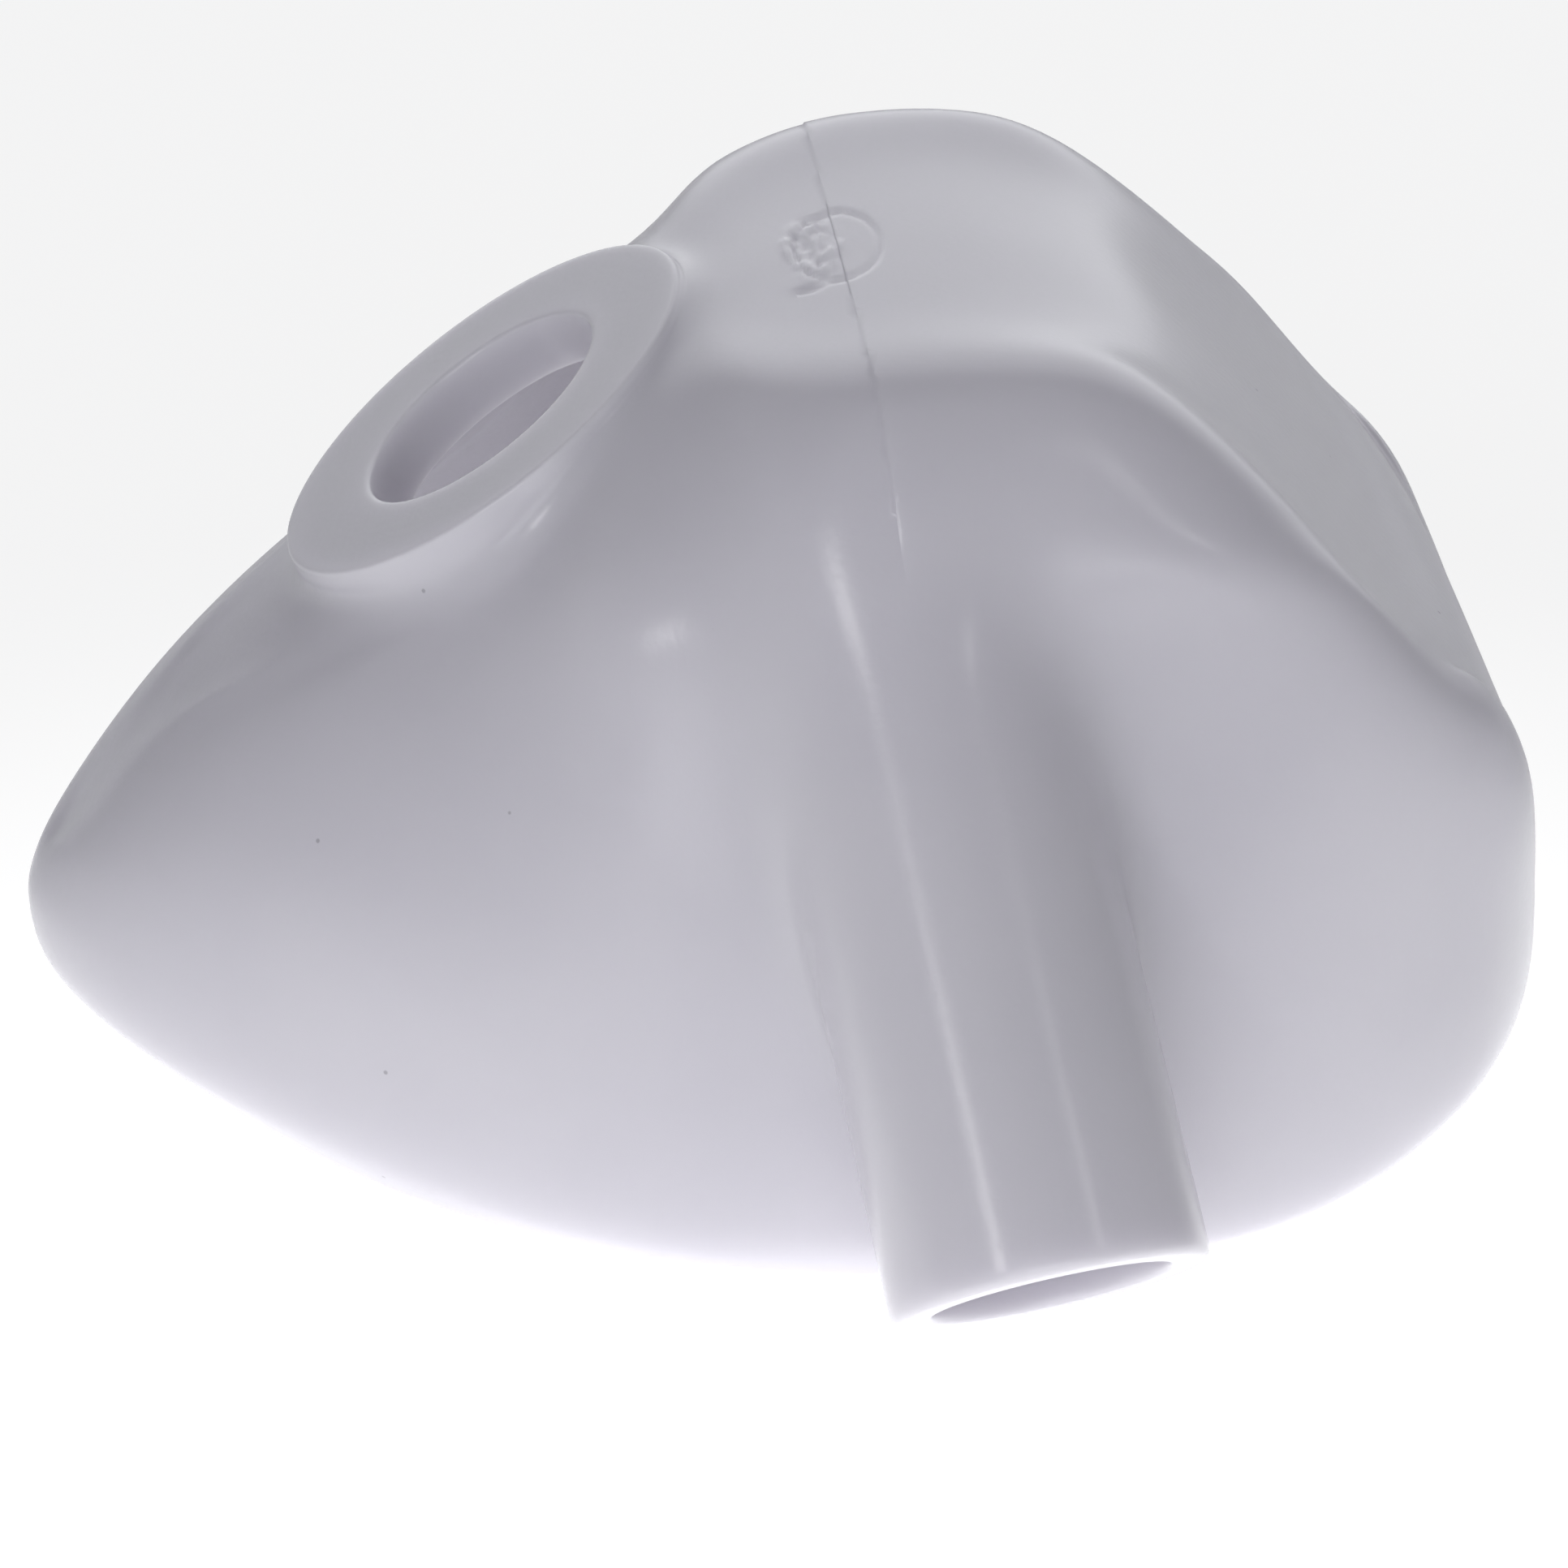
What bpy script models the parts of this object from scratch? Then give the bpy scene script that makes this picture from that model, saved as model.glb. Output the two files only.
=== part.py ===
"""Soft nasal hood with a vent port on its sloping end and a tube down each side.

The hood is one silicone moulding. It lies rim down: X runs along its length with the
port end at -X, Y runs across it and Z is up, and the table is at Z = 0. One half is laid
out as a cage of rings and rows, the cage is mirrored across Y = 0, and a subdivision
surface turns it into the smooth shell. Sizes are in millimetres.
"""

import math

import bmesh
import bpy
from mathutils import Matrix, Vector
from mathutils.bvhtree import BVHTree

MM = 0.001

# Crown line, seen from the side, between the two end caps of the crown
CROWN_LINE = [
    (-38.8, 16.2),
    (-35.6, 20.3),
    (-27.0, 28.4),
    (-16.3, 36.0),
    (-6.0, 45.0),
    (2.0, 48.1),
    (9.0, 48.7),
    (16.5, 47.0),
    (24.5, 41.0),
    (32.6, 32.0),
    (38.2, 23.6),
    (40.6, 16.8),
]

# Crown strip, the nearly flat band along the top
STRIP_HALF_WIDTH = 19.0
STRIP_WIDEST_X = 10.0
STRIP_DROP = 0.15
STRIP_HEEL_SQUARENESS = 3.6

# Widest ring of the side wall
TIP_X = -41.3
TIP_Z = 11.4
HEEL_X = 41.3
HEEL_Z = 9.4
WALL_HALF_WIDTH = 29.6
WALL_WIDEST_X = 6.0
WALL_WIDEST_Z = 8.0
TIP_SQUARENESS = 1.8
HEEL_SQUARENESS = 2.5
SHOULDER_PULL = 0.05
SHOULDER_PULL_TIP = 0.22
WALL_PULL = 0.58

# Rim
RIM_RISE_TIP = 5.6
RIM_RISE_HEEL = 4.2
RIM_LEVEL_SPAN = 0.3
RIM_TUCK = 3.4
LIP_THICKNESS = 2.9
WALL = 2.2
FOOT_DIP = 1.25

# Side tubes
TUBE_ROOT = (2.4, -13.2, 43.2)
TUBE_AXIS = (0.162, -0.597, -0.786)
TUBE_LENGTH = 46.2
TUBE_OUTER_RADIUS = 8.3
TUBE_BORE_RADIUS = 6.1
BORE_ROUND = 1.2
TUBE_FRONT_FILLET = 1.2
TUBE_SIDE_FILLET = 1.7
TUBE_CROTCH_FILLET = 1.0
TUBE_ROOT_CLEAR = 1.0
TUBE_END_ROUND = 0.8
TUBE_TAPER = 0.4

# Vent port
PORT_CENTRE = (-16.2, 0.0, 39.4)
PORT_TILT = 35.4
PORT_RADIUS = 12.9
PORT_HOLE_RADIUS = 7.3
PORT_BULGE = 0.15
PORT_FILLET = 1.4
PORT_EDGE = 0.35
PORT_DEPTH = 3.4

# Gate mark on the crown
GATE_X = 3.0
GATE_LENGTH = 4.9
GATE_WIDTH = 8.8
GATE_DEPTH = 0.35

# Cage
CAP_STEPS = 2
STRIP_ROW_BIAS = 0.4
COLUMN_STEPS = (CAP_STEPS, 1, 4, 1, 4, 5, CAP_STEPS)
CAP_ANGLE_TIP = 28.0
CAP_ANGLE_HEEL = 150.0
WALL_STEPS = (0.0, 0.12, 0.27, 0.44, 0.62, 0.81, 1.0)
PORT_COLUMNS = (1, 5)
TUBE_COLUMNS = (6, 10)
TUBE_LOW_RING = 2
TUBE_RINGS = 4
SMOOTH_LEVEL = 1


def clear_scene():
    for item in list(bpy.data.objects):
        bpy.data.objects.remove(item, do_unlink=True)


def spline(points, x):
    """Height of a smooth line through points at x, by cubic Hermite pieces."""
    xs = [p[0] for p in points]
    zs = [p[1] for p in points]
    n = len(points)
    slopes = []
    for i in range(n):
        a = max(i - 1, 0)
        b = min(i + 1, n - 1)
        slopes.append((zs[b] - zs[a]) / (xs[b] - xs[a]))
    i = 0
    while i < n - 2 and x > xs[i + 1]:
        i += 1
    h = xs[i + 1] - xs[i]
    t = min(max((x - xs[i]) / h, 0.0), 1.0)
    a = (2 * t**3 - 3 * t**2 + 1) * zs[i] + (t**3 - 2 * t**2 + t) * h * slopes[i]
    b = (3 * t**2 - 2 * t**3) * zs[i + 1] + (t**3 - t**2) * h * slopes[i + 1]
    return a + b


def crown_z(x, y):
    return spline(CROWN_LINE, x) - STRIP_DROP * (y / STRIP_HALF_WIDTH) ** 2


def oval(angle, left, right, middle, half_width, left_power, right_power):
    """Point of an egg-shaped plan curve, angle 0 at the left end, 180 at the right."""
    c = math.cos(math.radians(angle))
    s = abs(math.sin(math.radians(angle)))
    power = left_power if c > 0 else right_power
    reach = (left if c > 0 else right) - middle
    x = middle + reach * abs(c) ** (2.0 / power)
    return x, -half_width * s ** (2.0 / power)


def strip_edge(angle):
    """Edge of the crown strip, level along X with the widest ring at this angle."""
    left, right = CROWN_LINE[0][0], CROWN_LINE[-1][0]
    share = (widest(angle).x - TIP_X) / (HEEL_X - TIP_X)
    x = left + (right - left) * share
    if x < STRIP_WIDEST_X:
        part = min((x - STRIP_WIDEST_X) / (left - STRIP_WIDEST_X), 1.0)
        y = -STRIP_HALF_WIDTH * (1.0 + math.cos(math.pi * part)) / 2
    else:
        part = min((x - STRIP_WIDEST_X) / (right - STRIP_WIDEST_X), 1.0)
        power = STRIP_HEEL_SQUARENESS
        y = -STRIP_HALF_WIDTH * (1.0 - part**power) ** (1.0 / power)
    return Vector((x, y, crown_z(x, y)))


def rim_rise(angle):
    c = math.cos(math.radians(angle))
    rise = RIM_RISE_TIP if c > 0 else RIM_RISE_HEEL
    t = max(0.0, abs(c) - RIM_LEVEL_SPAN) / (1 - RIM_LEVEL_SPAN)
    return rise * t * t


def widest(angle):
    x, y = oval(
        angle,
        TIP_X,
        HEEL_X,
        WALL_WIDEST_X,
        WALL_HALF_WIDTH,
        TIP_SQUARENESS,
        HEEL_SQUARENESS,
    )
    c = math.cos(math.radians(angle))
    end = TIP_Z if c > 0 else HEEL_Z
    return Vector((x, y, WALL_WIDEST_Z + (end - WALL_WIDEST_Z) * c * c))


def outward(curve, angle):
    """Level direction that points out of a plan curve."""
    if angle <= 0.01:
        return Vector((-1, 0, 0))
    if angle >= 179.99:
        return Vector((1, 0, 0))
    a = curve(max(angle - 1.5, 0.0))
    b = curve(min(angle + 1.5, 180.0))
    return Vector((b.y - a.y, a.x - b.x, 0)).normalized()


def wall_point(angle, t):
    """Side wall between the strip edge, t = 0, and the widest ring, t = 1."""
    top = strip_edge(angle)
    low = widest(angle)
    out = outward(strip_edge, angle)
    step = 0.05
    ahead = top + out * step
    fall = (crown_z(ahead.x, ahead.y) - top.z) / step
    if top.x > CROWN_LINE[-1][0] - 0.5 or top.x < CROWN_LINE[0][0] + 0.5:
        back = top - out * step
        fall = (top.z - crown_z(back.x, back.y)) / step
    lead = (out + Vector((0, 0, fall))).normalized()
    span = (low - top).length
    tipward = max(0.0, (STRIP_WIDEST_X - top.x) / (STRIP_WIDEST_X - CROWN_LINE[0][0]))
    pull = SHOULDER_PULL + (SHOULDER_PULL_TIP - SHOULDER_PULL) * tipward
    c1 = top + lead * span * pull
    c2 = low + Vector((0, 0, span * WALL_PULL))
    u = 1 - t
    return top * u**3 + c1 * 3 * u * u * t + c2 * 3 * u * t * t + low * t**3


def lip_points(angle):
    """Outer side of the rolled rim, from under the widest ring to its flat foot."""
    low = widest(angle)
    out = outward(widest, angle)
    base = rim_rise(angle)
    drop = low.z - base
    points = []
    for inset, share in ((0.22, 0.42), (0.75, 0.08)):
        p = low - out * RIM_TUCK * inset
        p.z = base + drop * share
        points.append(p)
    return points


def wall_angle(x):
    """Plan angle at which the widest ring has this X."""
    tipward = x < WALL_WIDEST_X
    reach = (TIP_X if tipward else HEEL_X) - WALL_WIDEST_X
    power = TIP_SQUARENESS if tipward else HEEL_SQUARENESS
    c = min((x - WALL_WIDEST_X) / reach, 1.0) ** (power / 2.0)
    return math.degrees(math.acos(c if tipward else -c))


def column_angles(finer=1):
    """Plan angles of the cage's columns, closer where the port and the tube sit."""
    lean = math.cos(math.radians(PORT_TILT))
    port_reach = (PORT_RADIUS + PORT_FILLET) * lean
    tube_x = TUBE_ROOT[0] + TUBE_AXIS[0] * TUBE_LENGTH / 2
    tube_reach = TUBE_OUTER_RADIUS + TUBE_SIDE_FILLET
    stops = [
        0.0,
        CAP_ANGLE_TIP,
        wall_angle(PORT_CENTRE[0] - port_reach * 0.95),
        wall_angle(PORT_CENTRE[0] + port_reach * 0.65),
        wall_angle(tube_x - tube_reach),
        wall_angle(tube_x + tube_reach),
        CAP_ANGLE_HEEL,
        180.0,
    ]
    angles = [0.0]
    for a, b, steps in zip(stops, stops[1:], COLUMN_STEPS):
        steps *= finer
        angles += [a + (b - a) * (i + 1) / steps for i in range(steps)]
    return angles


def body_rings(angles, steps):
    """Rings of the side, from the rim upward to the strip edge."""
    rings = []
    lips = [lip_points(a) for a in angles]
    rings.append([p[1] for p in lips])
    rings.append([p[0] for p in lips])
    for t in reversed(steps):
        rings.append([wall_point(a, t) for a in angles])
    for ring in rings:
        ring[0].y = 0.0
        ring[-1].y = 0.0
    return rings


def strip_rows(edge, caps):
    """Rows of the crown strip inside the strip edge, the first on the centre line."""
    sides = len(edge) - 1 - 2 * caps
    a, b = edge[caps], edge[caps + sides]
    left, right = edge[0], edge[-1]
    rows = []
    for row in range(caps + 1):
        t = (row / caps) ** STRIP_ROW_BIAS
        line = []
        for c in range(sides + 1):
            s = c / sides
            near = edge[caps + c]
            share = (near.x - a.x) / (b.x - a.x)
            top = Vector((left.x + (right.x - left.x) * share, 0, 0))
            side = edge[row] * (1 - s) + edge[len(edge) - 1 - row] * s
            corner_top = left * (1 - s) + right * s
            corner_low = a * (1 - s) + b * s
            p = top * (1 - t) + near * t + side
            p = p - corner_top * (1 - t) - corner_low * t
            if row == 0:
                p.y = 0.0
            p.z = crown_z(p.x, p.y)
            line.append(p)
        rows.append(line)
    rows[caps] = [edge[caps + c].copy() for c in range(sides + 1)]
    for row in range(caps + 1):
        rows[row][0] = edge[row].copy()
        rows[row][sides] = edge[len(edge) - 1 - row].copy()
    return rows


class Cage:
    """Vertices and faces of the half cage."""

    def __init__(self):
        self.points = []
        self.faces = []

    def add(self, p):
        self.points.append(Vector(p))
        return len(self.points) - 1

    def add_row(self, row):
        return [self.add(p) for p in row]

    def bridge(self, a, b):
        for i in range(len(a) - 1):
            self.faces.append((a[i], a[i + 1], b[i + 1], b[i]))


def lay_body(cage, angles, steps, caps, holes=()):
    """Adds the outer body to the cage and gives its rings and strip rows."""
    rings = [cage.add_row(ring) for ring in body_rings(angles, steps)]
    edge = [cage.points[i] for i in rings[-1]]
    rows_points = strip_rows(edge, caps)
    sides = len(angles) - 1 - 2 * caps
    top = len(rings) - 1
    last = len(angles) - 1
    rows = []
    for row in range(caps + 1):
        line = []
        for c in range(sides + 1):
            if row == caps:
                line.append(rings[top][caps + c])
            elif c == 0:
                line.append(rings[top][row])
            elif c == sides:
                line.append(rings[top][last - row])
            else:
                line.append(cage.add(rows_points[row][c]))
        rows.append(line)
    for r in range(top):
        for j in range(last):
            if ("ring", r, j) in holes:
                continue
            a, b = rings[r], rings[r + 1]
            cage.faces.append((a[j], a[j + 1], b[j + 1], b[j]))
    for row in range(caps):
        for c in range(sides):
            if ("strip", row, c) in holes:
                continue
            a, b = rows[row], rows[row + 1]
            cage.faces.append((b[c], b[c + 1], a[c + 1], a[c]))
    return rings, rows


def body_tree(inset=0.0):
    """Search tree of the plain body, both halves, or of a skin set in from it."""
    fine = Cage()
    caps = CAP_STEPS * 3
    angles = column_angles(3)
    steps = [i / 18 for i in range(19)]
    lay_body(fine, angles, steps, caps)
    count = len(fine.points)
    if inset:
        facing = normals(fine, fine.faces)
        fine.points = [p - facing[i] * inset for i, p in enumerate(fine.points)]
    points = fine.points + [Vector((p.x, -p.y, p.z)) for p in fine.points]
    faces = list(fine.faces)
    faces += [tuple(count + i for i in reversed(f)) for f in fine.faces]
    return BVHTree.FromPolygons(points, faces)


def tube_frame():
    axis = Vector(TUBE_AXIS).normalized()
    side = axis.cross(Vector((0, -1, 0))).normalized()
    if side.x < 0:
        side = -side
    face = side.cross(axis).normalized()
    if face.y > 0:
        face = -face
    return Vector(TUBE_ROOT), axis, side, face


def tube_point(angle, k, radius):
    """Angle 0 faces out, 90 faces +X, and k runs down the tube from its root."""
    root, axis, side, face = tube_frame()
    a = math.radians(angle)
    spoke = face * math.cos(a) + side * math.sin(a)
    return root + axis * k + spoke * radius


def tube_meet(tree, angle, radius):
    """Distance along the tube at which a line on its side meets the body."""
    axis = tube_frame()[1]
    start = tube_point(angle, TUBE_LENGTH, radius)
    hit, normal, index, far = tree.ray_cast(start, -axis)
    if hit is not None and far < TUBE_LENGTH:
        return TUBE_LENGTH - far, hit
    best = None
    for i in range(41):
        k = TUBE_LENGTH * (i - 8) / 100
        p = tube_point(angle, k, radius)
        near, normal, index, gap = tree.find_nearest(p)
        if best is None or gap < best[0]:
            best = (gap, k, near)
    return best[1], best[2]


def tube_clear(tree, angle, radius, gap):
    """Distance along the tube from which its side stands clear of the body by gap."""
    k = TUBE_LENGTH - TUBE_END_ROUND * 5
    step = TUBE_LENGTH / 200
    while k > TUBE_ROOT_CLEAR:
        p = tube_point(angle, k, radius)
        near, normal, index, far = tree.find_nearest(p)
        if far < gap or (p - near).dot(normal) < 0:
            break
        k -= step
    return min(k + step, TUBE_LENGTH - TUBE_END_ROUND * 4)


def tube_fillet(angle):
    """Fillet size round the tube: full at its sides, small on top and in the crotch."""
    c = math.cos(math.radians(angle))
    end = TUBE_FRONT_FILLET if c > 0 else TUBE_CROTCH_FILLET
    return end + (TUBE_SIDE_FILLET - end) * (1 - c * c)


def port_frame():
    tilt = math.radians(PORT_TILT)
    normal = Vector((-math.sin(tilt), 0, math.cos(tilt)))
    uphill = Vector((math.cos(tilt), 0, math.sin(tilt)))
    return Vector(PORT_CENTRE), normal, uphill


def port_point(angle, radius, height):
    """Angle 0 points uphill, 90 to the near side, 180 downhill."""
    centre, normal, uphill = port_frame()
    a = math.radians(angle)
    p = centre + uphill * (radius * math.cos(a)) + normal * height
    p.y = -radius * math.sin(a)
    return p


def port_meet(tree, angle, radius):
    centre, normal, uphill = port_frame()
    start = port_point(angle, radius, PORT_RADIUS)
    hit, n, index, far = tree.ray_cast(start, -normal)
    return PORT_RADIUS - far, hit


def relax(cage, tree, fixed, near, rounds):
    """Evens out the cage round an opening, with every point kept on the body."""
    links = {}
    for face in cage.faces:
        for i, a in enumerate(face):
            b = face[(i + 1) % len(face)]
            links.setdefault(a, set()).add(b)
            links.setdefault(b, set()).add(a)
    reach = set(near)
    level = set(near)
    weight = {}
    for step in (0.5, 0.4, 0.25):
        level = {b for a in level for b in links.get(a, ()) if b not in reach}
        for a in level:
            weight[a] = step
        reach |= level
    for turn in range(rounds):
        moved = {}
        for a, w in sorted(weight.items()):
            if a in fixed:
                continue
            around = sorted(links[a])
            on_line = abs(cage.points[a].y) < 1e-6
            if on_line:
                around = [b for b in around if abs(cage.points[b].y) < 1e-6]
                if len(around) < 2:
                    continue
            mean = Vector((0, 0, 0))
            for b in around:
                mean += cage.points[b]
            p = cage.points[a].lerp(mean / len(around), w * 0.5)
            hit = tree.find_nearest(p)[0]
            if on_line:
                hit.y = 0.0
            moved[a] = hit
        for a, p in moved.items():
            cage.points[a] = p


def normals(cage, faces):
    """Mean direction of the faces round each vertex of the half cage."""
    total = {}
    for face in faces:
        p = [cage.points[i] for i in face]
        n = (p[2] - p[0]).cross(p[3] - p[1])
        for i in face:
            total[i] = total.get(i, Vector((0, 0, 0))) + n
    result = {}
    for i, n in total.items():
        n = n.copy()
        if abs(cage.points[i].y) < 1e-6:
            n.y = 0.0
        result[i] = n.normalized()
    return result


def even_out(values, rounds):
    """Smooths a closed run of values."""
    n = len(values)
    for turn in range(rounds):
        values = [
            (values[i - 1] + 2 * values[i] + values[(i + 1) % n]) / 4 for i in range(n)
        ]
    return values


def circle_gain(sides):
    """How far a ring's control points stand out from the circle that they give."""
    return 3.0 / (2.0 + math.cos(2 * math.pi / sides))


def build_cage():
    cage = Cage()
    tree = body_tree()
    inner_tree = body_tree(WALL)
    angles = column_angles()
    top = len(WALL_STEPS) + 1
    ta, tb = TUBE_COLUMNS
    pa, pb = PORT_COLUMNS
    holes = set()
    high = top - 1
    for r in range(TUBE_LOW_RING, high):
        for j in range(CAP_STEPS + ta, CAP_STEPS + tb):
            holes.add(("ring", r, j))
    for c in range(pa, pb):
        for row in range(CAP_STEPS):
            holes.add(("strip", row, c))
        holes.add(("ring", top - 1, CAP_STEPS + c))
    rings, rows = lay_body(cage, angles, WALL_STEPS, CAP_STEPS, holes)

    # Loop of body vertices round the tube, from its middle top towards +X
    ja, jb = CAP_STEPS + ta, CAP_STEPS + tb
    jm = (ja + jb) // 2
    loop = [rings[high][j] for j in range(jm, jb)]
    loop += [rings[r][jb] for r in range(high, TUBE_LOW_RING, -1)]
    loop += [rings[TUBE_LOW_RING][j] for j in range(jb, ja, -1)]
    loop += [rings[r][ja] for r in range(TUBE_LOW_RING, high)]
    loop += [rings[high][j] for j in range(ja, jm)]
    sides = len(loop)
    gain = circle_gain(sides)
    turn = [360.0 * i / sides for i in range(sides)]
    starts = []
    bore_starts = []
    inner_loop = []
    for i, a in zip(loop, turn):
        round_by = tube_fillet(a)
        cage.points[i] = tube_meet(tree, a, TUBE_OUTER_RADIUS + round_by)[1]
        starts.append(tube_clear(tree, a, TUBE_OUTER_RADIUS, round_by))
        inner_loop.append(tube_meet(inner_tree, a, TUBE_BORE_RADIUS + BORE_ROUND)[1])
        bore_starts.append(tube_clear(inner_tree, a, TUBE_BORE_RADIUS, BORE_ROUND))
    starts = even_out(starts, 3)
    bore_starts = even_out(bore_starts, 3)

    # Half loop round the port, from the uphill end by the near side to the tip end
    ring_low = rings[top - 1]
    port_loop = [rows[row][pb] for row in range(CAP_STEPS)]
    port_loop += [rings[top][CAP_STEPS + pb]]
    port_loop += [ring_low[CAP_STEPS + c] for c in range(pb, pa - 1, -1)]
    port_loop += [rings[top][CAP_STEPS + pa]]
    port_loop += [rows[row][pa] for row in range(CAP_STEPS - 1, -1, -1)]
    port_turn = [180.0 * i / (len(port_loop) - 1) for i in range(len(port_loop))]
    for i, a in zip(port_loop, port_turn):
        hit = port_meet(tree, a, PORT_RADIUS + PORT_FILLET)[1]
        cage.points[i] = hit
    for i in (port_loop[0], port_loop[-1]):
        cage.points[i].y = 0.0

    fixed = set(loop) | set(port_loop) | set(rings[0]) | set(rings[1])
    relax(cage, tree, fixed, list(loop) + list(port_loop), 12)
    body_points = len(cage.points)
    body_faces = list(cage.faces)

    # Tube outside
    reach = TUBE_LENGTH
    outer_rows = []
    shares = [i / TUBE_RINGS for i in range(TUBE_RINGS + 1)]
    for share in shares:
        line = []
        for a, k in zip(turn, starts):
            last = reach - TUBE_END_ROUND * 1.6
            d = k + (last - k) * share
            radius = TUBE_OUTER_RADIUS - TUBE_TAPER * (1 - d / reach)
            line.append(cage.add(tube_point(a, d, radius * gain)))
        outer_rows.append(line)
    end_radii = (
        TUBE_OUTER_RADIUS,
        TUBE_OUTER_RADIUS - TUBE_END_ROUND * 0.8,
        TUBE_BORE_RADIUS + TUBE_END_ROUND * 0.6,
        TUBE_BORE_RADIUS,
    )
    end_rows = []
    for radius in end_radii:
        line = [cage.add(tube_point(a, reach, radius * gain)) for a in turn]
        end_rows.append(line)
    bore_rows = []
    for share in reversed(shares):
        line = []
        for a, k in zip(turn, bore_starts):
            last = reach - TUBE_END_ROUND * 1.2
            d = k + (last - k) * share
            line.append(cage.add(tube_point(a, d, TUBE_BORE_RADIUS * gain)))
        bore_rows.append(line)

    def closed(row):
        return list(row) + [row[0]]

    chain = [loop] + outer_rows
    outer_tube_start = len(cage.faces)
    for a, b in zip(chain, chain[1:]):
        cage.bridge(closed(a), closed(b))
    fillet_faces = cage.faces[outer_tube_start : outer_tube_start + sides]
    chain = [outer_rows[-1]] + end_rows + bore_rows
    for a, b in zip(chain, chain[1:]):
        cage.bridge(closed(a), closed(b))

    # Port outside, edge, face and bore
    port_sides = 2 * (len(port_loop) - 1)
    port_gain = circle_gain(port_sides)
    seat = [port_meet(tree, a, PORT_RADIUS)[0] for a in port_turn]
    port_rows = []

    def port_ring(radius, heights):
        line = []
        for a, h in zip(port_turn, heights):
            p = port_point(a, radius * port_gain, h)
            line.append(cage.add(p))
        cage.points[line[0]].y = 0.0
        cage.points[line[-1]].y = 0.0
        port_rows.append(line)

    level = [0.0] * len(port_turn)
    foot = [min(h + PORT_FILLET * 0.7, -PORT_EDGE * 2.2) for h in seat]
    port_ring(PORT_RADIUS + PORT_BULGE, foot)
    port_ring(PORT_RADIUS + PORT_BULGE, [(h - PORT_EDGE) / 2 for h in foot])
    port_ring(PORT_RADIUS, [-PORT_EDGE for h in level])
    port_ring(PORT_RADIUS, level)
    port_ring(PORT_RADIUS - PORT_EDGE * 1.6, level)
    port_ring(PORT_HOLE_RADIUS + PORT_EDGE * 2.0, level)
    port_ring(PORT_HOLE_RADIUS, level)
    port_ring(PORT_HOLE_RADIUS, [-PORT_EDGE for h in level])
    port_ring(PORT_HOLE_RADIUS, [PORT_EDGE - PORT_DEPTH for h in level])
    port_ring(PORT_HOLE_RADIUS, [-PORT_DEPTH for h in level])
    port_ring(PORT_HOLE_RADIUS + PORT_EDGE * 2.0, [-PORT_DEPTH for h in level])
    chain = [port_loop] + port_rows
    for a, b in zip(chain, chain[1:]):
        cage.bridge(b, a)

    # Inner wall, set in from the outer body by the wall thickness
    facing = normals(cage, body_faces + fillet_faces)
    sample = rings[2][3]
    sign = 1.0 if facing[sample].y < 0 else -1.0
    inner = {}
    for i in range(body_points):
        if i not in facing:
            continue
        p = cage.points[i] - facing[i] * WALL * sign
        if i in loop:
            p = inner_loop[loop.index(i)]
        if abs(cage.points[i].y) < 1e-6:
            p.y = 0.0
        inner[i] = cage.add(p)
    for face in body_faces:
        if any(i not in inner for i in face):
            continue
        cage.faces.append(tuple(inner[i] for i in reversed(face)))
    bridge_a = [inner[i] for i in loop]
    cage.bridge(closed(bore_rows[-1]), closed(bridge_a))
    cage.bridge([inner[i] for i in port_loop], port_rows[-1])

    # Rim: foot and in-turned lip
    foot_row = []
    lip_row = []
    for j, angle in enumerate(angles):
        low = widest(angle)
        out = outward(widest, angle)
        base = rim_rise(angle)
        for row, inset, height in (
            (foot_row, RIM_TUCK + LIP_THICKNESS * 0.25, -FOOT_DIP),
            (lip_row, RIM_TUCK + LIP_THICKNESS * 0.55, LIP_THICKNESS * 0.6),
        ):
            p = low - out * inset
            p.z = base + height
            if j in (0, len(angles) - 1):
                p.y = 0.0
            row.append(cage.add(p))
    cage.bridge(foot_row, rings[0])
    cage.bridge(lip_row, foot_row)
    cage.bridge([inner[i] for i in rings[1]], lip_row)
    for j in range(len(angles) - 1):
        a, b = inner[rings[0][j]], inner[rings[0][j + 1]]
        c, d = inner[rings[1][j + 1]], inner[rings[1][j]]
        drop = tuple(reversed((a, b, c, d)))
        cage.faces = [f for f in cage.faces if set(f) != set(drop)]
    held = {i for f in body_faces for i in f} - set(rings[0])
    held -= set(loop) | set(port_loop)
    held |= {inner[i] for i in held}
    return cage, held


def settle(cage, held, faces, rounds):
    """Pushes the cage out until the smooth surface passes through its laid-out points."""
    goal = [p.copy() for p in cage.points]
    mesh = bpy.data.meshes.new("trial")
    mesh.from_pydata([tuple(p) for p in cage.points], [], faces)
    trial = bpy.data.objects.new("trial", mesh)
    bpy.context.collection.objects.link(trial)
    add_smoothing(trial, 1, 0.001)
    for turn in range(rounds):
        for vertex, p in zip(mesh.vertices, cage.points):
            vertex.co = p
        mesh.update()
        view = bpy.context.evaluated_depsgraph_get()
        view.update()
        result = trial.evaluated_get(view).to_mesh()
        for i in sorted(held):
            p = cage.points[i] + (goal[i] - result.vertices[i].co) * 0.9
            if abs(goal[i].y) < 1e-6:
                p.y = 0.0
            cage.points[i] = p
        trial.evaluated_get(view).to_mesh_clear()
    bpy.data.objects.remove(trial, do_unlink=True)
    bpy.data.meshes.remove(mesh)


def add_smoothing(item, level, merge):
    mirror = item.modifiers.new("other_half", "MIRROR")
    mirror.use_axis = (False, True, False)
    mirror.use_clip = True
    mirror.merge_threshold = merge
    smooth = item.modifiers.new("smooth", "SUBSURF")
    smooth.levels = level
    smooth.render_levels = level


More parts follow.
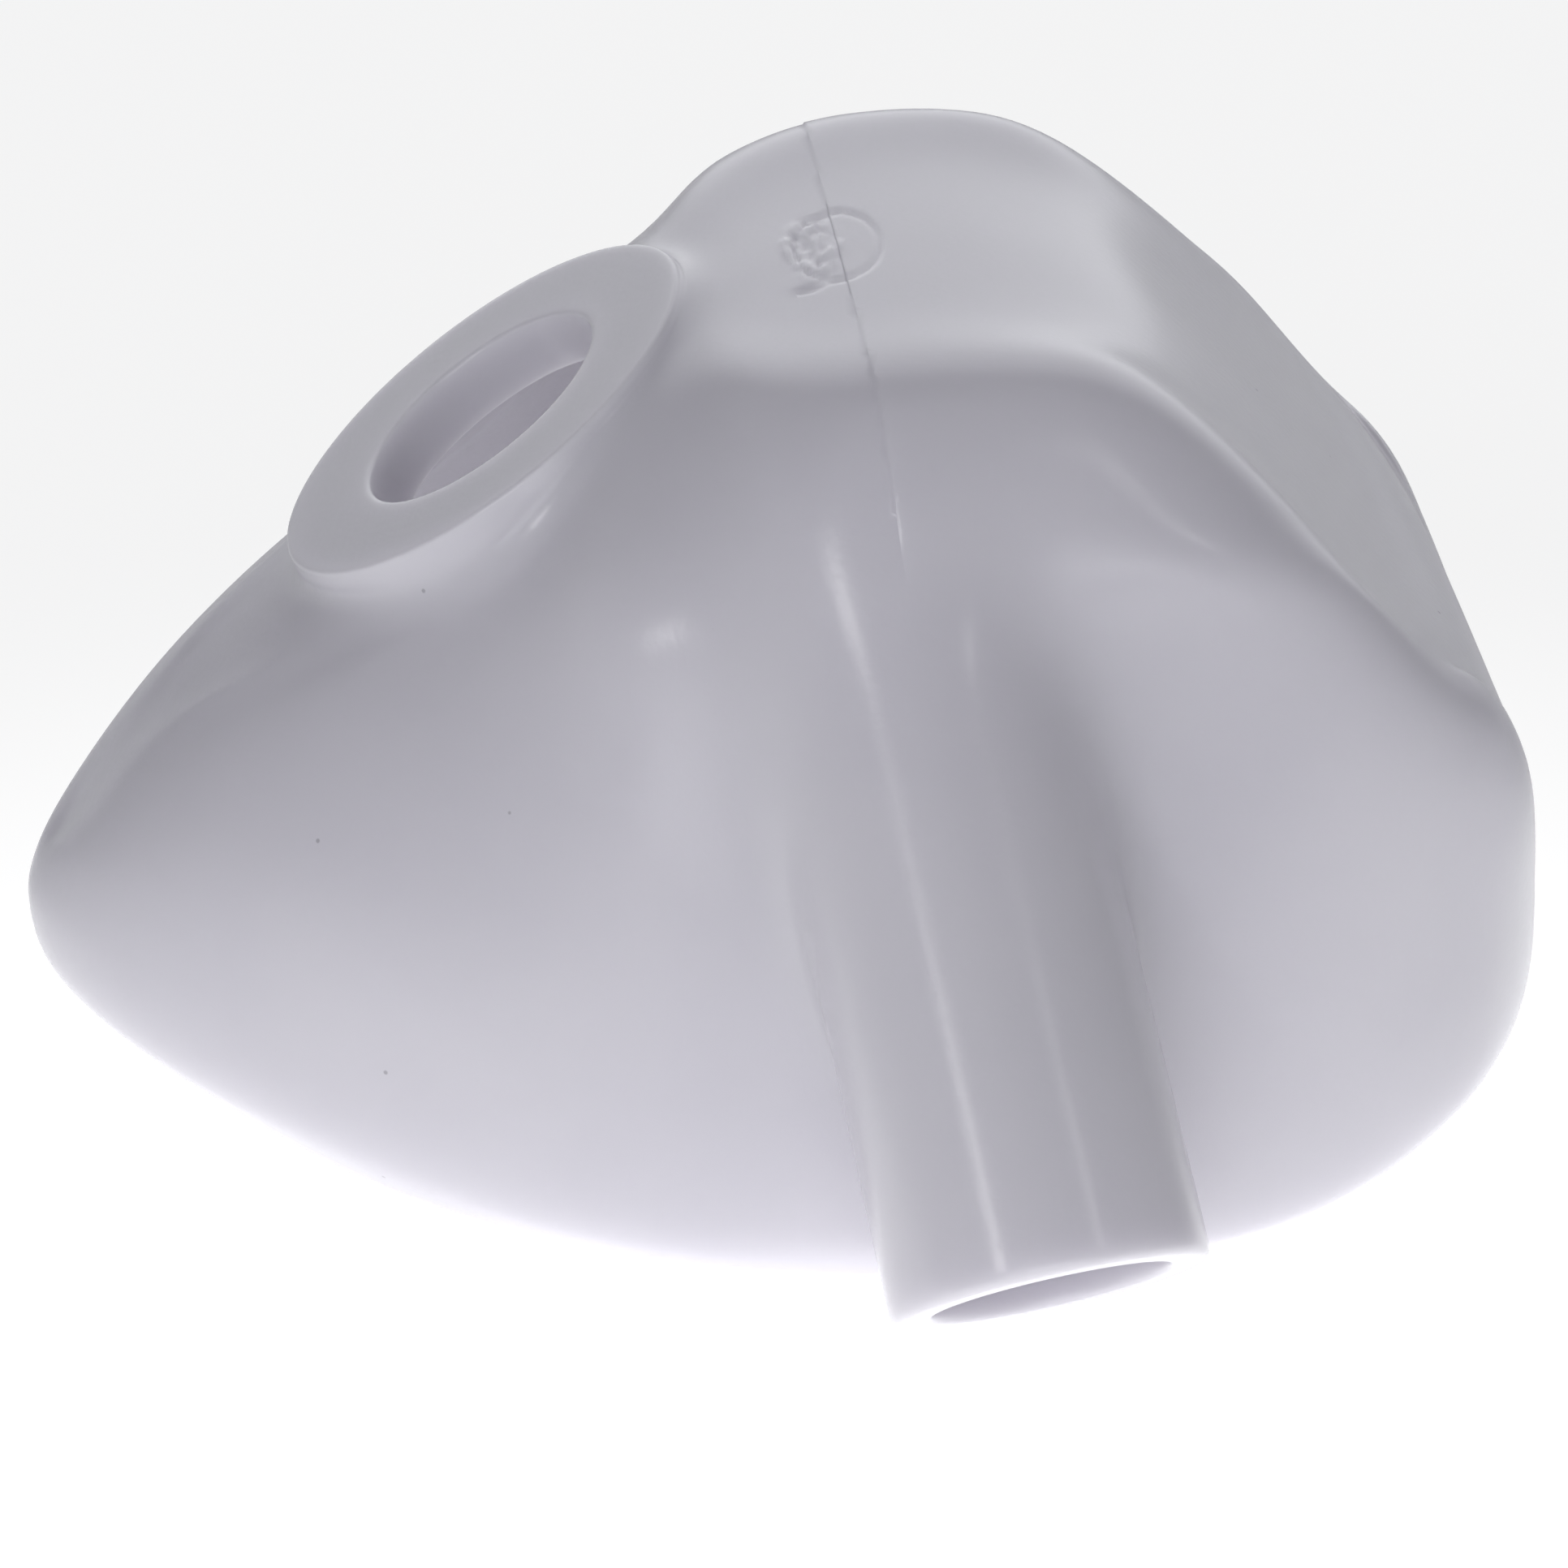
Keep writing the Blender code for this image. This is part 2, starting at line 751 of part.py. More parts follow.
def material(name, colour, roughness):
    m = bpy.data.materials.new(name)
    m.use_nodes = True
    shader = m.node_tree.nodes["Principled BSDF"]
    shader.inputs["Base Color"].default_value = (*colour, 1.0)
    shader.inputs["Roughness"].default_value = roughness
    shader.inputs["Metallic"].default_value = 0.0
    return m


def face_outward(mesh):
    """Turns all faces the same way, with the near side of the widest ring outward."""
    work = bmesh.new()
    work.from_mesh(mesh)
    bmesh.ops.recalc_face_normals(work, faces=work.faces)
    side = min(work.faces, key=lambda f: f.calc_center_median().y)
    if side.normal.y > 0:
        bmesh.ops.reverse_faces(work, faces=work.faces)
    work.to_mesh(mesh)
    work.free()


def make_hood():
    cage, held = build_cage()
    used = sorted({i for f in cage.faces for i in f})
    place = {i: n for n, i in enumerate(used)}
    faces = [tuple(place[i] for i in f) for f in cage.faces]
    cage.points = [cage.points[i] for i in used]
    settle(cage, {place[i] for i in held}, faces, 5)
    mesh = bpy.data.meshes.new("nasal_hood")
    points = [p * MM for p in cage.points]
    mesh.from_pydata([tuple(p) for p in points], [], faces)
    face_outward(mesh)
    hood = bpy.data.objects.new("nasal_hood", mesh)
    bpy.context.collection.objects.link(hood)
    add_smoothing(hood, SMOOTH_LEVEL, 0.00001)
    hood.data.materials.append(material("soft_silicone", (0.62, 0.61, 0.64), 0.42))
    for face in mesh.polygons:
        face.use_smooth = True
    return hood


def cutter(name, mesh):
    item = bpy.data.objects.new(name, mesh)
    bpy.context.collection.objects.link(item)
    item.hide_render = True
    item.display_type = "WIRE"
    return item


def level_cutter():
    """Block under the table level that leaves the rim two flat lands to rest on."""
    work = bmesh.new()
    bmesh.ops.create_cube(work, size=1.0)
    depth = WALL_WIDEST_Z * MM
    size = (3 * HEEL_X * MM, 3 * WALL_HALF_WIDTH * MM, depth)
    bmesh.ops.scale(work, vec=size, verts=work.verts)
    bmesh.ops.translate(work, vec=(0, 0, -depth / 2), verts=work.verts)
    mesh = bpy.data.meshes.new("below_table")
    work.to_mesh(mesh)
    work.free()
    return cutter("below_table", mesh)


def gate_cutter():
    """Oval plug that leaves the shallow gate mark on the crown."""
    slope = (crown_z(GATE_X + GATE_WIDTH, 0) - crown_z(GATE_X - GATE_WIDTH, 0)) / (
        2 * GATE_WIDTH
    )
    work = bmesh.new()
    bmesh.ops.create_cone(
        work,
        cap_ends=True,
        segments=24,
        radius1=0.5,
        radius2=0.5,
        depth=1.0,
    )
    size = (GATE_LENGTH * MM, GATE_WIDTH * MM, 2 * GATE_WIDTH * MM)
    half_step = Matrix.Rotation(math.pi / 24, 3, "Z")
    bmesh.ops.rotate(work, matrix=half_step, verts=work.verts)
    bmesh.ops.scale(work, vec=size, verts=work.verts)
    lift = GATE_WIDTH - GATE_DEPTH
    bmesh.ops.translate(work, vec=(0, 0, lift * MM), verts=work.verts)
    mesh = bpy.data.meshes.new("gate_plug")
    work.to_mesh(mesh)
    work.free()
    item = cutter("gate_plug", mesh)
    item.location = (GATE_X * MM, 0, crown_z(GATE_X, 0) * MM)
    item.rotation_euler = (0, -math.atan(slope), 0)
    return item


def cut(item, tool):
    step = item.modifiers.new(tool.name, "BOOLEAN")
    step.operation = "DIFFERENCE"
    step.solver = "EXACT"
    step.object = tool


clear_scene()
hood = make_hood()
cut(hood, level_cutter())
cut(hood, gate_cutter())
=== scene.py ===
"""Looks of the nasal hood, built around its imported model.

The hood is rebuilt as a finer skin from the same cage of rings and rows that its solid
comes from, with the marks of its mould on it, and takes a soft silicone material. It
stands rim down on a pale floor under soft light, seen from the photograph's angle.
The skin's own values are in millimetres and degrees, with X along the hood from the
port's end to the blunt end, -Y toward the viewer and Z up from the table.
"""

import math

import bmesh
import bpy
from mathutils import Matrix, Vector, noise
from mathutils.bvhtree import BVHTree


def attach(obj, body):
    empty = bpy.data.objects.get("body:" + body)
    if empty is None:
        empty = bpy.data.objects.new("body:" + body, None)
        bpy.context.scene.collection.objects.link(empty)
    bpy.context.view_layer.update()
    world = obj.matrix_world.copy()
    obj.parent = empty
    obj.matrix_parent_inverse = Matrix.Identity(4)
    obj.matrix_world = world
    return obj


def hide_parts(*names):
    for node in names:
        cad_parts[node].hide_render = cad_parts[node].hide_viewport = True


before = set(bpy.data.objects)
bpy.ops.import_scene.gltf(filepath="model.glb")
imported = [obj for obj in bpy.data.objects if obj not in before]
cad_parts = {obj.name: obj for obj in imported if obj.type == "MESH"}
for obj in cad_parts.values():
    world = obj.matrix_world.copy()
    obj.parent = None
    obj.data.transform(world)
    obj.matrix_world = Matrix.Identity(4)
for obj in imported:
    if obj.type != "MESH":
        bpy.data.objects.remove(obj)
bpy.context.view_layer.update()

MM = 0.001

# Crown line, seen from the side: X and height, from the tip to the blunt end
CROWN_LINE = [
    (-38.8, 16.2),
    (-35.6, 20.7),
    (-27.0, 28.9),
    (-16.3, 36.0),
    (-6.0, 44.9),
    (2.0, 47.9),
    (9.0, 48.35),
    (16.5, 46.5),
    (24.5, 40.0),
    (32.6, 31.35),
    (37.4, 25.9),
    (39.3, 19.5),
]

# Crown strip, the nearly flat band along the top
STRIP_HALF_WIDTH = 22.0
STRIP_WIDEST_X = 10.0
STRIP_TIP_WIDTH = 4.5
STRIP_TIP_SQUARENESS = 4
STRIP_FLARE_POWER = 3.0
STRIP_DROP = 0.15
STRIP_HEEL_SQUARENESS = 3.4

# Widest ring of the side wall, and how the wall leaves the crown and meets the ring
TIP_X = -41.3
TIP_Z = 11.4
HEEL_X = 41.0
HEEL_Z = 9.4
WALL_HALF_WIDTH = 29.6
WALL_WIDEST_X = 6.0
WALL_WIDEST_Z = 8.0
TIP_SQUARENESS = 1.68
HEEL_SQUARENESS = 2.5
SHOULDER_PULL = 0.05
SHOULDER_PULL_TIP = 0.32
SHOULDER_PULL_HEEL = 0.36
HEEL_SOFT_FROM = 20.0
WALL_PULL = 0.58

# Shallow hollow of the wall round the tube: its middle and reach along X and Z
VALLEY_CENTRE = (7.0, 29.0)
VALLEY_REACH = (17.0, 16.0)
VALLEY_DEPTH = 3.2

# Rim
RIM_RISE_TIP = 6.2
RIM_RISE_HEEL = 4.2
RIM_LEVEL_SPAN = 0.3
RIM_TUCK = 3.4
LIP_THICKNESS = 2.9
WALL = 2.2
FOOT_DIP = 1.25

# Control rows of the lip, as shares of its thickness
FOOT_INSET_SHARE = 0.25
LIP_INSET_SHARE = 0.55
LIP_RISE_SHARE = 0.6

# Side tubes
TUBE_ROOT = (2.4, -13.2, 43.2)
TUBE_AXIS = (0.162, -0.597, -0.786)
TUBE_LENGTH = 46.2
TUBE_OUTER_RADIUS = 8.3
TUBE_BORE_RADIUS = 6.1
BORE_ROUND = 1.2
TUBE_FRONT_FILLET = 1.2
TUBE_SIDE_FILLET = 1.7
TUBE_CROTCH_FILLET = 1.0
TUBE_ROOT_CLEAR = 1.0
TUBE_END_ROUND = 0.8
TUBE_TAPER = 0.4

# Control rows of the tube's rounded end, as shares of its round
END_SIDE_SHARE = 1.6
END_OUTER_SHARE = 0.8
END_INNER_SHARE = 0.6
END_BORE_SHARE = 1.2
END_KEEP_SHARE = 4.0

# Vent port
PORT_CENTRE = (-16.2, 0.0, 39.4)
PORT_TILT = 35.4
PORT_RADIUS = 12.9
PORT_HOLE_RADIUS = 7.3
PORT_BULGE = 0.15
PORT_FILLET = 1.4
PORT_EDGE = 0.35
PORT_DEPTH = 3.4

# Control rows of the port, as shares of its fillet and of its edge
PORT_FOOT_SHARE = 0.7
PORT_FOOT_DEPTH = 2.2
PORT_FACE_OUTER = 1.6
PORT_FACE_INNER = 2.0

# Cage: its steps, the plan angles of its end caps, and where its openings are
CAP_STEPS = 2
STRIP_ROW_BIAS = 0.24
COLUMN_STEPS = (CAP_STEPS, 1, 4, 1, 4, 5, CAP_STEPS)
CAP_ANGLE_TIP = 28.0
CAP_ANGLE_HEEL = 150.0
WALL_STEPS = (0.0, 0.08, 0.23, 0.42, 0.62, 0.81, 1.0)
PORT_COLUMNS = (1, 5)
PORT_SPAN_DOWNHILL = 0.95
PORT_SPAN_UPHILL = 0.65
TUBE_COLUMNS = (6, 10)
TUBE_LOW_RING = 2
TUBE_RINGS = 4
SKIN_LEVEL = 3

# Rings of the rolled rim: share of the tuck, and of the drop from the widest ring
LIP_RINGS = ((0.22, 0.42), (0.75, 0.08))

# The plain body's search tree: its cage is this many times finer
TREE_FINENESS = 3
TREE_WALL_STEPS = 18

# Moves of the cage's points round an opening, ring by ring outward from it, and
# rounds in which the starts of the tube and its bore are evened out
RELAX_SHARES = (0.25, 0.2, 0.125)
RELAX_ROUNDS = 12
EVEN_ROUNDS = 3

# Rounds in which the cage is pushed out, and the share of the miss taken in each
SETTLE_ROUNDS = 5
SETTLE_SHARE = 0.9

# Search along the tube: steps a length, and where the nearest-point search looks
CLEAR_STEPS = 200
MEET_PERCENTS = range(-8, 33)

# Points closer to the plane Y = 0 than this lie on it, and halves merge within this
ON_MIDDLE = 1e-6
MERGE_WITHIN = 0.001

# Steps for slopes: degrees along a plan curve, millimetres out from the crown, and
# the stretch at each end of the crown line where the slope is taken inward
TURN_STEP = 1.5
SLOPE_STEP = 0.05
CROWN_END = 0.5

# Mould seam across the crown, whose tip side stands a little lower. It is two cuts,
# SEAM_WIDTH apart, and what lies past SEAM_PAST of that width is its tip side
CROWN_MIDDLE_Z = 24.0
SEAM_X = 2.9
SEAM_TOP_Z = 48.6
SEAM_LEAN = 0.12
SEAM_STEP = 0.09
SEAM_WIDTH = 0.1
SEAM_PAST = 0.9
SEAM_FADE = 6.0
SEAM_END_Z = 39.0
SEAM_END_FADE = 4.0

# Gate mark: a sunk oval with a groove round it, places and half sizes along X and Y
GATE_PLACE = (2.9, -0.2)
GATE_HALF = (2.35, 4.9)
GATE_MARGIN = (2.6, 1.6)
GATE_SINK = 0.05
GATE_EDGE = 0.94
GATE_GROOVE = 0.18
GROOVE_PLACE = 0.97
GROOVE_WIDTH = 0.045
GATE_CUTS = 2
FACING_UP = 0.5

# Torn stub on the gate mark, and the small tear at its end
STUB_PLACE = (1.6, 0.3)
STUB_HALF = (1.7, 4.6)
STUB_HEIGHT = 0.22
STUB_LIFT = 0.25
STUB_FULL = 0.6
STUB_NONE = 1.15
STUB_GRAIN = 1.1
STUB_STRETCH = 0.7
STUB_ROUGHNESS = 0.6
STUB_GAPS = 2.0
STUB_OCTAVES = 4
TEAR_PLACE = (0.9, -5.2)
TEAR_HALF = (0.8, 0.3)
TEAR_DEPTH = 0.3

# Silicone: sheen, light scattered under its skin (metres) and cloudy tint
SILICONE_ROUGHNESS = 0.22
SILICONE_IOR = 1.41
SCATTER_SHARE = 0.7
SCATTER_RADIUS = (1.0, 0.95, 1.0)
SCATTER_SCALE = 0.0035
TINT_CLOUDS = 60.0
TINT_DETAIL = 3.0
TINT_SPAN = (0.35, 0.65)
TINT_DARK = (0.55, 0.538, 0.583, 1.0)
TINT_PALE = (0.57, 0.558, 0.60, 1.0)

# Fine grain of the moulded skin: cells a metre, strength, height in metres
GRAIN_CELLS = 1800.0
GRAIN_DETAIL = 2.0
GRAIN_STRENGTH = 0.12
GRAIN_HEIGHT = 0.00008

# Dust specks in the silicone: cells a metre, share of a cell, strength
SPECK_CELLS = 190.0
SPECK_SIZE = 0.028
SPECK_CORE = 0.6
SPECK_SHARE = 0.6
SPECK_COLOUR = (0.25, 0.24, 0.27, 1.0)

# Camera, found from the photograph
CAMERA_AZIMUTH = -5.3
CAMERA_ELEVATION = 25.5
CAMERA_DISTANCE = 400.0
CAMERA_TARGET = (0.1, 0.0, 16.4)
PIXELS_PER_MM = 22.5
FRAME_PIXELS = 1932
SENSOR_WIDTH = 36.0
CLIP_START = 0.01

# Floor, in metres: it glows in a pool round the hood, as a table lit from above does
FLOOR_HALF = 3.0
FLOOR_COLOUR = (0.9, 0.9, 0.9, 1.0)
FLOOR_ROUGHNESS = 0.9
FLOOR_SHOWN_WHITE = 0.8
TABLE_GLOW = 0.95
GLOW_COLOUR = (1.0, 1.0, 1.0, 1.0)
GLOW_CENTRE = (0.0, -0.06, 0.0)
GLOW_FULL = 0.05
GLOW_NONE = 0.14

# Dim tent round the stage
TENT_LEVEL = 0.18
TENT_COLOUR = (0.96, 0.97, 1.0, 1.0)

# Soft panels: azimuth, elevation, full within, none beyond (degrees), level
PANELS = [
    (166.0, 24.0, 20.0, 47.0, 1.45),
    (-10.0, 5.0, 14.0, 36.0, 2.3),
    (-45.0, 65.0, 10.0, 34.0, 0.5),
]

# Streak lamps: name, azimuth, elevation (degrees), width, height (metres), radiance
LAMPS = [
    ("lamp_left", -43.0, 27.3, 0.06, 0.11, 27.0),
    ("lamp_right", 42.0, 39.5, 0.05, 0.06, 20.0),
]
LAMP_DISTANCE = 1.0
LAMP_AIM_Z = 0.02


def spline(points, x):
    """Height of a smooth line through points at x, by cubic Hermite pieces."""
    xs = [p[0] for p in points]
    zs = [p[1] for p in points]
    n = len(points)
    slopes = []
    for i in range(n):
        a = max(i - 1, 0)
        b = min(i + 1, n - 1)
        slopes.append((zs[b] - zs[a]) / (xs[b] - xs[a]))
    i = 0
    while i < n - 2 and x > xs[i + 1]:
        i += 1
    h = xs[i + 1] - xs[i]
    t = min(max((x - xs[i]) / h, 0.0), 1.0)
    a = (2 * t**3 - 3 * t**2 + 1) * zs[i] + (t**3 - 2 * t**2 + t) * h * slopes[i]
    b = (3 * t**2 - 2 * t**3) * zs[i + 1] + (t**3 - t**2) * h * slopes[i + 1]
    return a + b


def crown_z(x, y):
    """Height of the crown strip at this place."""
    return spline(CROWN_LINE, x) - STRIP_DROP * (y / STRIP_HALF_WIDTH) ** 2


def oval(angle, left, right, middle, half_width, left_power, right_power):
    """Point of an egg-shaped plan curve, angle 0 at the left end, 180 at the right."""
    c = math.cos(math.radians(angle))
    s = abs(math.sin(math.radians(angle)))
    power = left_power if c > 0 else right_power
    reach = (left if c > 0 else right) - middle
    x = middle + reach * abs(c) ** (2.0 / power)
    return x, -half_width * s ** (2.0 / power)


def strip_edge(angle):
    """Edge of the crown strip, level along X with the widest ring at this angle."""
    left, right = CROWN_LINE[0][0], CROWN_LINE[-1][0]
    share = (widest(angle).x - TIP_X) / (HEEL_X - TIP_X)
    x = left + (right - left) * share
    if x < STRIP_WIDEST_X:
        part = min((x - STRIP_WIDEST_X) / (left - STRIP_WIDEST_X), 1.0)
        narrow = STRIP_TIP_WIDTH * math.sqrt(1.0 - part**STRIP_TIP_SQUARENESS)
        flare = math.cos(math.pi / 2 * part) ** STRIP_FLARE_POWER
        y = -narrow - (STRIP_HALF_WIDTH - STRIP_TIP_WIDTH) * flare
    else:
        part = min((x - STRIP_WIDEST_X) / (right - STRIP_WIDEST_X), 1.0)
        power = STRIP_HEEL_SQUARENESS
        y = -STRIP_HALF_WIDTH * (1.0 - part**power) ** (1.0 / power)
    return Vector((x, y, crown_z(x, y)))


def rim_rise(angle):
    """Height of the rim over its lowest stretch at this plan angle."""
    c = math.cos(math.radians(angle))
    rise = RIM_RISE_TIP if c > 0 else RIM_RISE_HEEL
    t = max(0.0, abs(c) - RIM_LEVEL_SPAN) / (1 - RIM_LEVEL_SPAN)
    return rise * t * t


def widest(angle):
    """Point of the widest ring of the side wall at this plan angle."""
    bulge = (WALL_WIDEST_X, WALL_HALF_WIDTH)
    x, y = oval(angle, TIP_X, HEEL_X, *bulge, TIP_SQUARENESS, HEEL_SQUARENESS)
    c = math.cos(math.radians(angle))
    end = TIP_Z if c > 0 else HEEL_Z
    return Vector((x, y, WALL_WIDEST_Z + (end - WALL_WIDEST_Z) * c * c))


def outward(curve, angle):
    """Level direction that points out of a plan curve."""
    if angle <= 0.0:
        return Vector((-1, 0, 0))
    if angle >= 180.0:
        return Vector((1, 0, 0))
    a = curve(max(angle - TURN_STEP, 0.0))
    b = curve(min(angle + TURN_STEP, 180.0))
    return Vector((b.y - a.y, a.x - b.x, 0)).normalized()


def wall_point(angle, t):
    """Side wall between the strip edge, t = 0, and the widest ring, t = 1."""
    top = strip_edge(angle)
    low = widest(angle)
    out = outward(strip_edge, angle)
    left, right = CROWN_LINE[0][0], CROWN_LINE[-1][0]
    ahead = top + out * SLOPE_STEP
    fall = (crown_z(ahead.x, ahead.y) - top.z) / SLOPE_STEP
    if top.x > right - CROWN_END or top.x < left + CROWN_END:
        back = top - out * SLOPE_STEP
        fall = (top.z - crown_z(back.x, back.y)) / SLOPE_STEP
    lead = (out + Vector((0, 0, fall))).normalized()
    span = (low - top).length
    tipward = max(0.0, (STRIP_WIDEST_X - top.x) / (STRIP_WIDEST_X - left))
    heelward = max(0.0, (top.x - HEEL_SOFT_FROM) / (right - HEEL_SOFT_FROM))
    pull = SHOULDER_PULL + (SHOULDER_PULL_TIP - SHOULDER_PULL) * tipward
    pull += (SHOULDER_PULL_HEEL - SHOULDER_PULL) * heelward
    c1 = top + lead * span * pull
    c2 = low + Vector((0, 0, span * WALL_PULL))
    u = 1 - t
    p = top * u**3 + c1 * 3 * u * u * t + c2 * 3 * u * t * t + low * t**3
    along = (p.x - VALLEY_CENTRE[0]) / VALLEY_REACH[0]
    above = (p.z - VALLEY_CENTRE[1]) / VALLEY_REACH[1]
    away = math.hypot(along, above)
    p.y += VALLEY_DEPTH * max(0.0, 1.0 - away * away) ** 2
    return p


def lip_points(angle):
    """Outer side of the rolled rim, from under the widest ring to its flat foot."""
    low = widest(angle)
    out = outward(widest, angle)
    base = rim_rise(angle)
    drop = low.z - base
    points = []
    for inset, share in LIP_RINGS:
        p = low - out * RIM_TUCK * inset
        p.z = base + drop * share
        points.append(p)
    return points


def wall_angle(x):
    """Plan angle at which the widest ring has this X."""
    tipward = x < WALL_WIDEST_X
    reach = (TIP_X if tipward else HEEL_X) - WALL_WIDEST_X
    power = TIP_SQUARENESS if tipward else HEEL_SQUARENESS
    c = min((x - WALL_WIDEST_X) / reach, 1.0) ** (power / 2.0)
    return math.degrees(math.acos(c if tipward else -c))


def column_angles(finer=1):
    """Plan angles of the cage's columns, closer where the port and the tube sit."""
    lean = math.cos(math.radians(PORT_TILT))
    port_reach = (PORT_RADIUS + PORT_FILLET) * lean
    tube_x = TUBE_ROOT[0] + TUBE_AXIS[0] * TUBE_LENGTH / 2
    tube_reach = TUBE_OUTER_RADIUS + TUBE_SIDE_FILLET
    stops = [
        0.0,
        CAP_ANGLE_TIP,
        wall_angle(PORT_CENTRE[0] - port_reach * PORT_SPAN_DOWNHILL),
        wall_angle(PORT_CENTRE[0] + port_reach * PORT_SPAN_UPHILL),
        wall_angle(tube_x - tube_reach),
        wall_angle(tube_x + tube_reach),
        CAP_ANGLE_HEEL,
        180.0,
    ]
    angles = [0.0]
    for a, b, steps in zip(stops, stops[1:], COLUMN_STEPS):
        steps *= finer
        angles += [a + (b - a) * (i + 1) / steps for i in range(steps)]
    return angles


def body_rings(angles, steps):
    """Rings of the side, from the rim upward to the strip edge."""
    lips = [lip_points(a) for a in angles]
    rings = [[p[1] for p in lips], [p[0] for p in lips]]
    rings += [[wall_point(a, t) for a in angles] for t in reversed(steps)]
    for ring in rings:
        ring[0].y = 0.0
        ring[-1].y = 0.0
    return rings


def strip_rows(edge, caps):
    """Rows of the crown strip inside the strip edge, the first on the centre line."""
    sides = len(edge) - 1 - 2 * caps
    a, b = edge[caps], edge[caps + sides]
    left, right = edge[0], edge[-1]
    rows = []
    for row in range(caps + 1):
        t = (row / caps) ** STRIP_ROW_BIAS
        line = []
        for c in range(sides + 1):
            s = c / sides
            near = edge[caps + c]
            share = (near.x - a.x) / (b.x - a.x)
            top = Vector((left.x + (right.x - left.x) * share, 0, 0))
            side = edge[row] * (1 - s) + edge[len(edge) - 1 - row] * s
            corner_top = left * (1 - s) + right * s
            corner_low = a * (1 - s) + b * s
            p = top * (1 - t) + near * t + side
            p = p - corner_top * (1 - t) - corner_low * t
            if row == 0:
                p.y = 0.0
            p.z = crown_z(p.x, p.y)
            line.append(p)
        rows.append(line)
    rows[caps] = [edge[caps + c].copy() for c in range(sides + 1)]
    for row in range(caps + 1):
        rows[row][0] = edge[row].copy()
        rows[row][sides] = edge[len(edge) - 1 - row].copy()
    return rows


class Cage:
    """Vertices and faces of the half cage."""

    def __init__(self):
        self.points = []
        self.faces = []

    def add(self, p):
        """Adds a vertex and gives its number."""
        self.points.append(Vector(p))
        return len(self.points) - 1

    def add_row(self, row):
        """Adds a row of vertices and gives their numbers."""
        return [self.add(p) for p in row]

    def bridge(self, a, b):
        """Adds the faces between two rows of the same length."""
        for i in range(len(a) - 1):
            self.faces.append((a[i], a[i + 1], b[i + 1], b[i]))


def lay_body(cage, angles, steps, caps, holes=()):
    """Adds the outer body to the cage and gives its rings and strip rows."""
    rings = [cage.add_row(ring) for ring in body_rings(angles, steps)]
    edge = [cage.points[i] for i in rings[-1]]
    rows_points = strip_rows(edge, caps)
    sides = len(angles) - 1 - 2 * caps
    top = len(rings) - 1
    last = len(angles) - 1
    rows = []
    for row in range(caps + 1):
        line = []
        for c in range(sides + 1):
            if row == caps:
                line.append(rings[top][caps + c])
            elif c == 0:
                line.append(rings[top][row])
            elif c == sides:
                line.append(rings[top][last - row])
            else:
                line.append(cage.add(rows_points[row][c]))
        rows.append(line)
    for r in range(top):
        for j in range(last):
            if ("ring", r, j) in holes:
                continue
            a, b = rings[r], rings[r + 1]
            cage.faces.append((a[j], a[j + 1], b[j + 1], b[j]))
    for row in range(caps):
        for c in range(sides):
            if ("strip", row, c) in holes:
                continue
            a, b = rows[row], rows[row + 1]
            cage.faces.append((b[c], b[c + 1], a[c + 1], a[c]))
    return rings, rows


def body_tree(inset=0.0):
    """Search tree of the plain body, both halves, or of a skin set in from it."""
    fine = Cage()
    caps = CAP_STEPS * TREE_FINENESS
    angles = column_angles(TREE_FINENESS)
    steps = [i / TREE_WALL_STEPS for i in range(TREE_WALL_STEPS + 1)]
    lay_body(fine, angles, steps, caps)
    count = len(fine.points)
    if inset:
        facing = normals(fine, fine.faces)
        fine.points = [p - facing[i] * inset for i, p in enumerate(fine.points)]
    points = fine.points + [Vector((p.x, -p.y, p.z)) for p in fine.points]
    faces = list(fine.faces)
    faces += [tuple(count + i for i in reversed(f)) for f in fine.faces]
    return BVHTree.FromPolygons(points, faces)


def tube_frame():
    """Root of the tube and its directions: down its axis, toward +X and outward."""
    axis = Vector(TUBE_AXIS).normalized()
    side = axis.cross(Vector((0, -1, 0))).normalized()
    if side.x < 0:
        side = -side
    face = side.cross(axis).normalized()
    if face.y > 0:
        face = -face
    return Vector(TUBE_ROOT), axis, side, face


def tube_point(angle, k, radius):
    """Point on the tube: angle 0 faces out, 90 faces +X, and k runs down from its root."""
    root, axis, side, face = tube_frame()
    a = math.radians(angle)
    spoke = face * math.cos(a) + side * math.sin(a)
    return root + axis * k + spoke * radius


def tube_meet(tree, angle, radius):
    """Distance along the tube at which a line on its side meets the body."""
    axis = tube_frame()[1]
    start = tube_point(angle, TUBE_LENGTH, radius)
    hit, _, _, far = tree.ray_cast(start, -axis)
    if hit is not None and far < TUBE_LENGTH:
        return TUBE_LENGTH - far, hit
    best = None
    for percent in MEET_PERCENTS:
        k = TUBE_LENGTH * percent / 100
        p = tube_point(angle, k, radius)
        near, _, _, gap = tree.find_nearest(p)
        if best is None or gap < best[0]:
            best = (gap, k, near)
    return best[1], best[2]


def tube_clear(tree, angle, radius, gap):
    """Distance along the tube from which its side stands clear of the body by gap."""
    k = TUBE_LENGTH - TUBE_END_ROUND * (END_KEEP_SHARE + 1)
    step = TUBE_LENGTH / CLEAR_STEPS
    while k > TUBE_ROOT_CLEAR:
        p = tube_point(angle, k, radius)
        near, normal, _, far = tree.find_nearest(p)
        if far < gap or (p - near).dot(normal) < 0:
            break
        k -= step
    return min(k + step, TUBE_LENGTH - TUBE_END_ROUND * END_KEEP_SHARE)


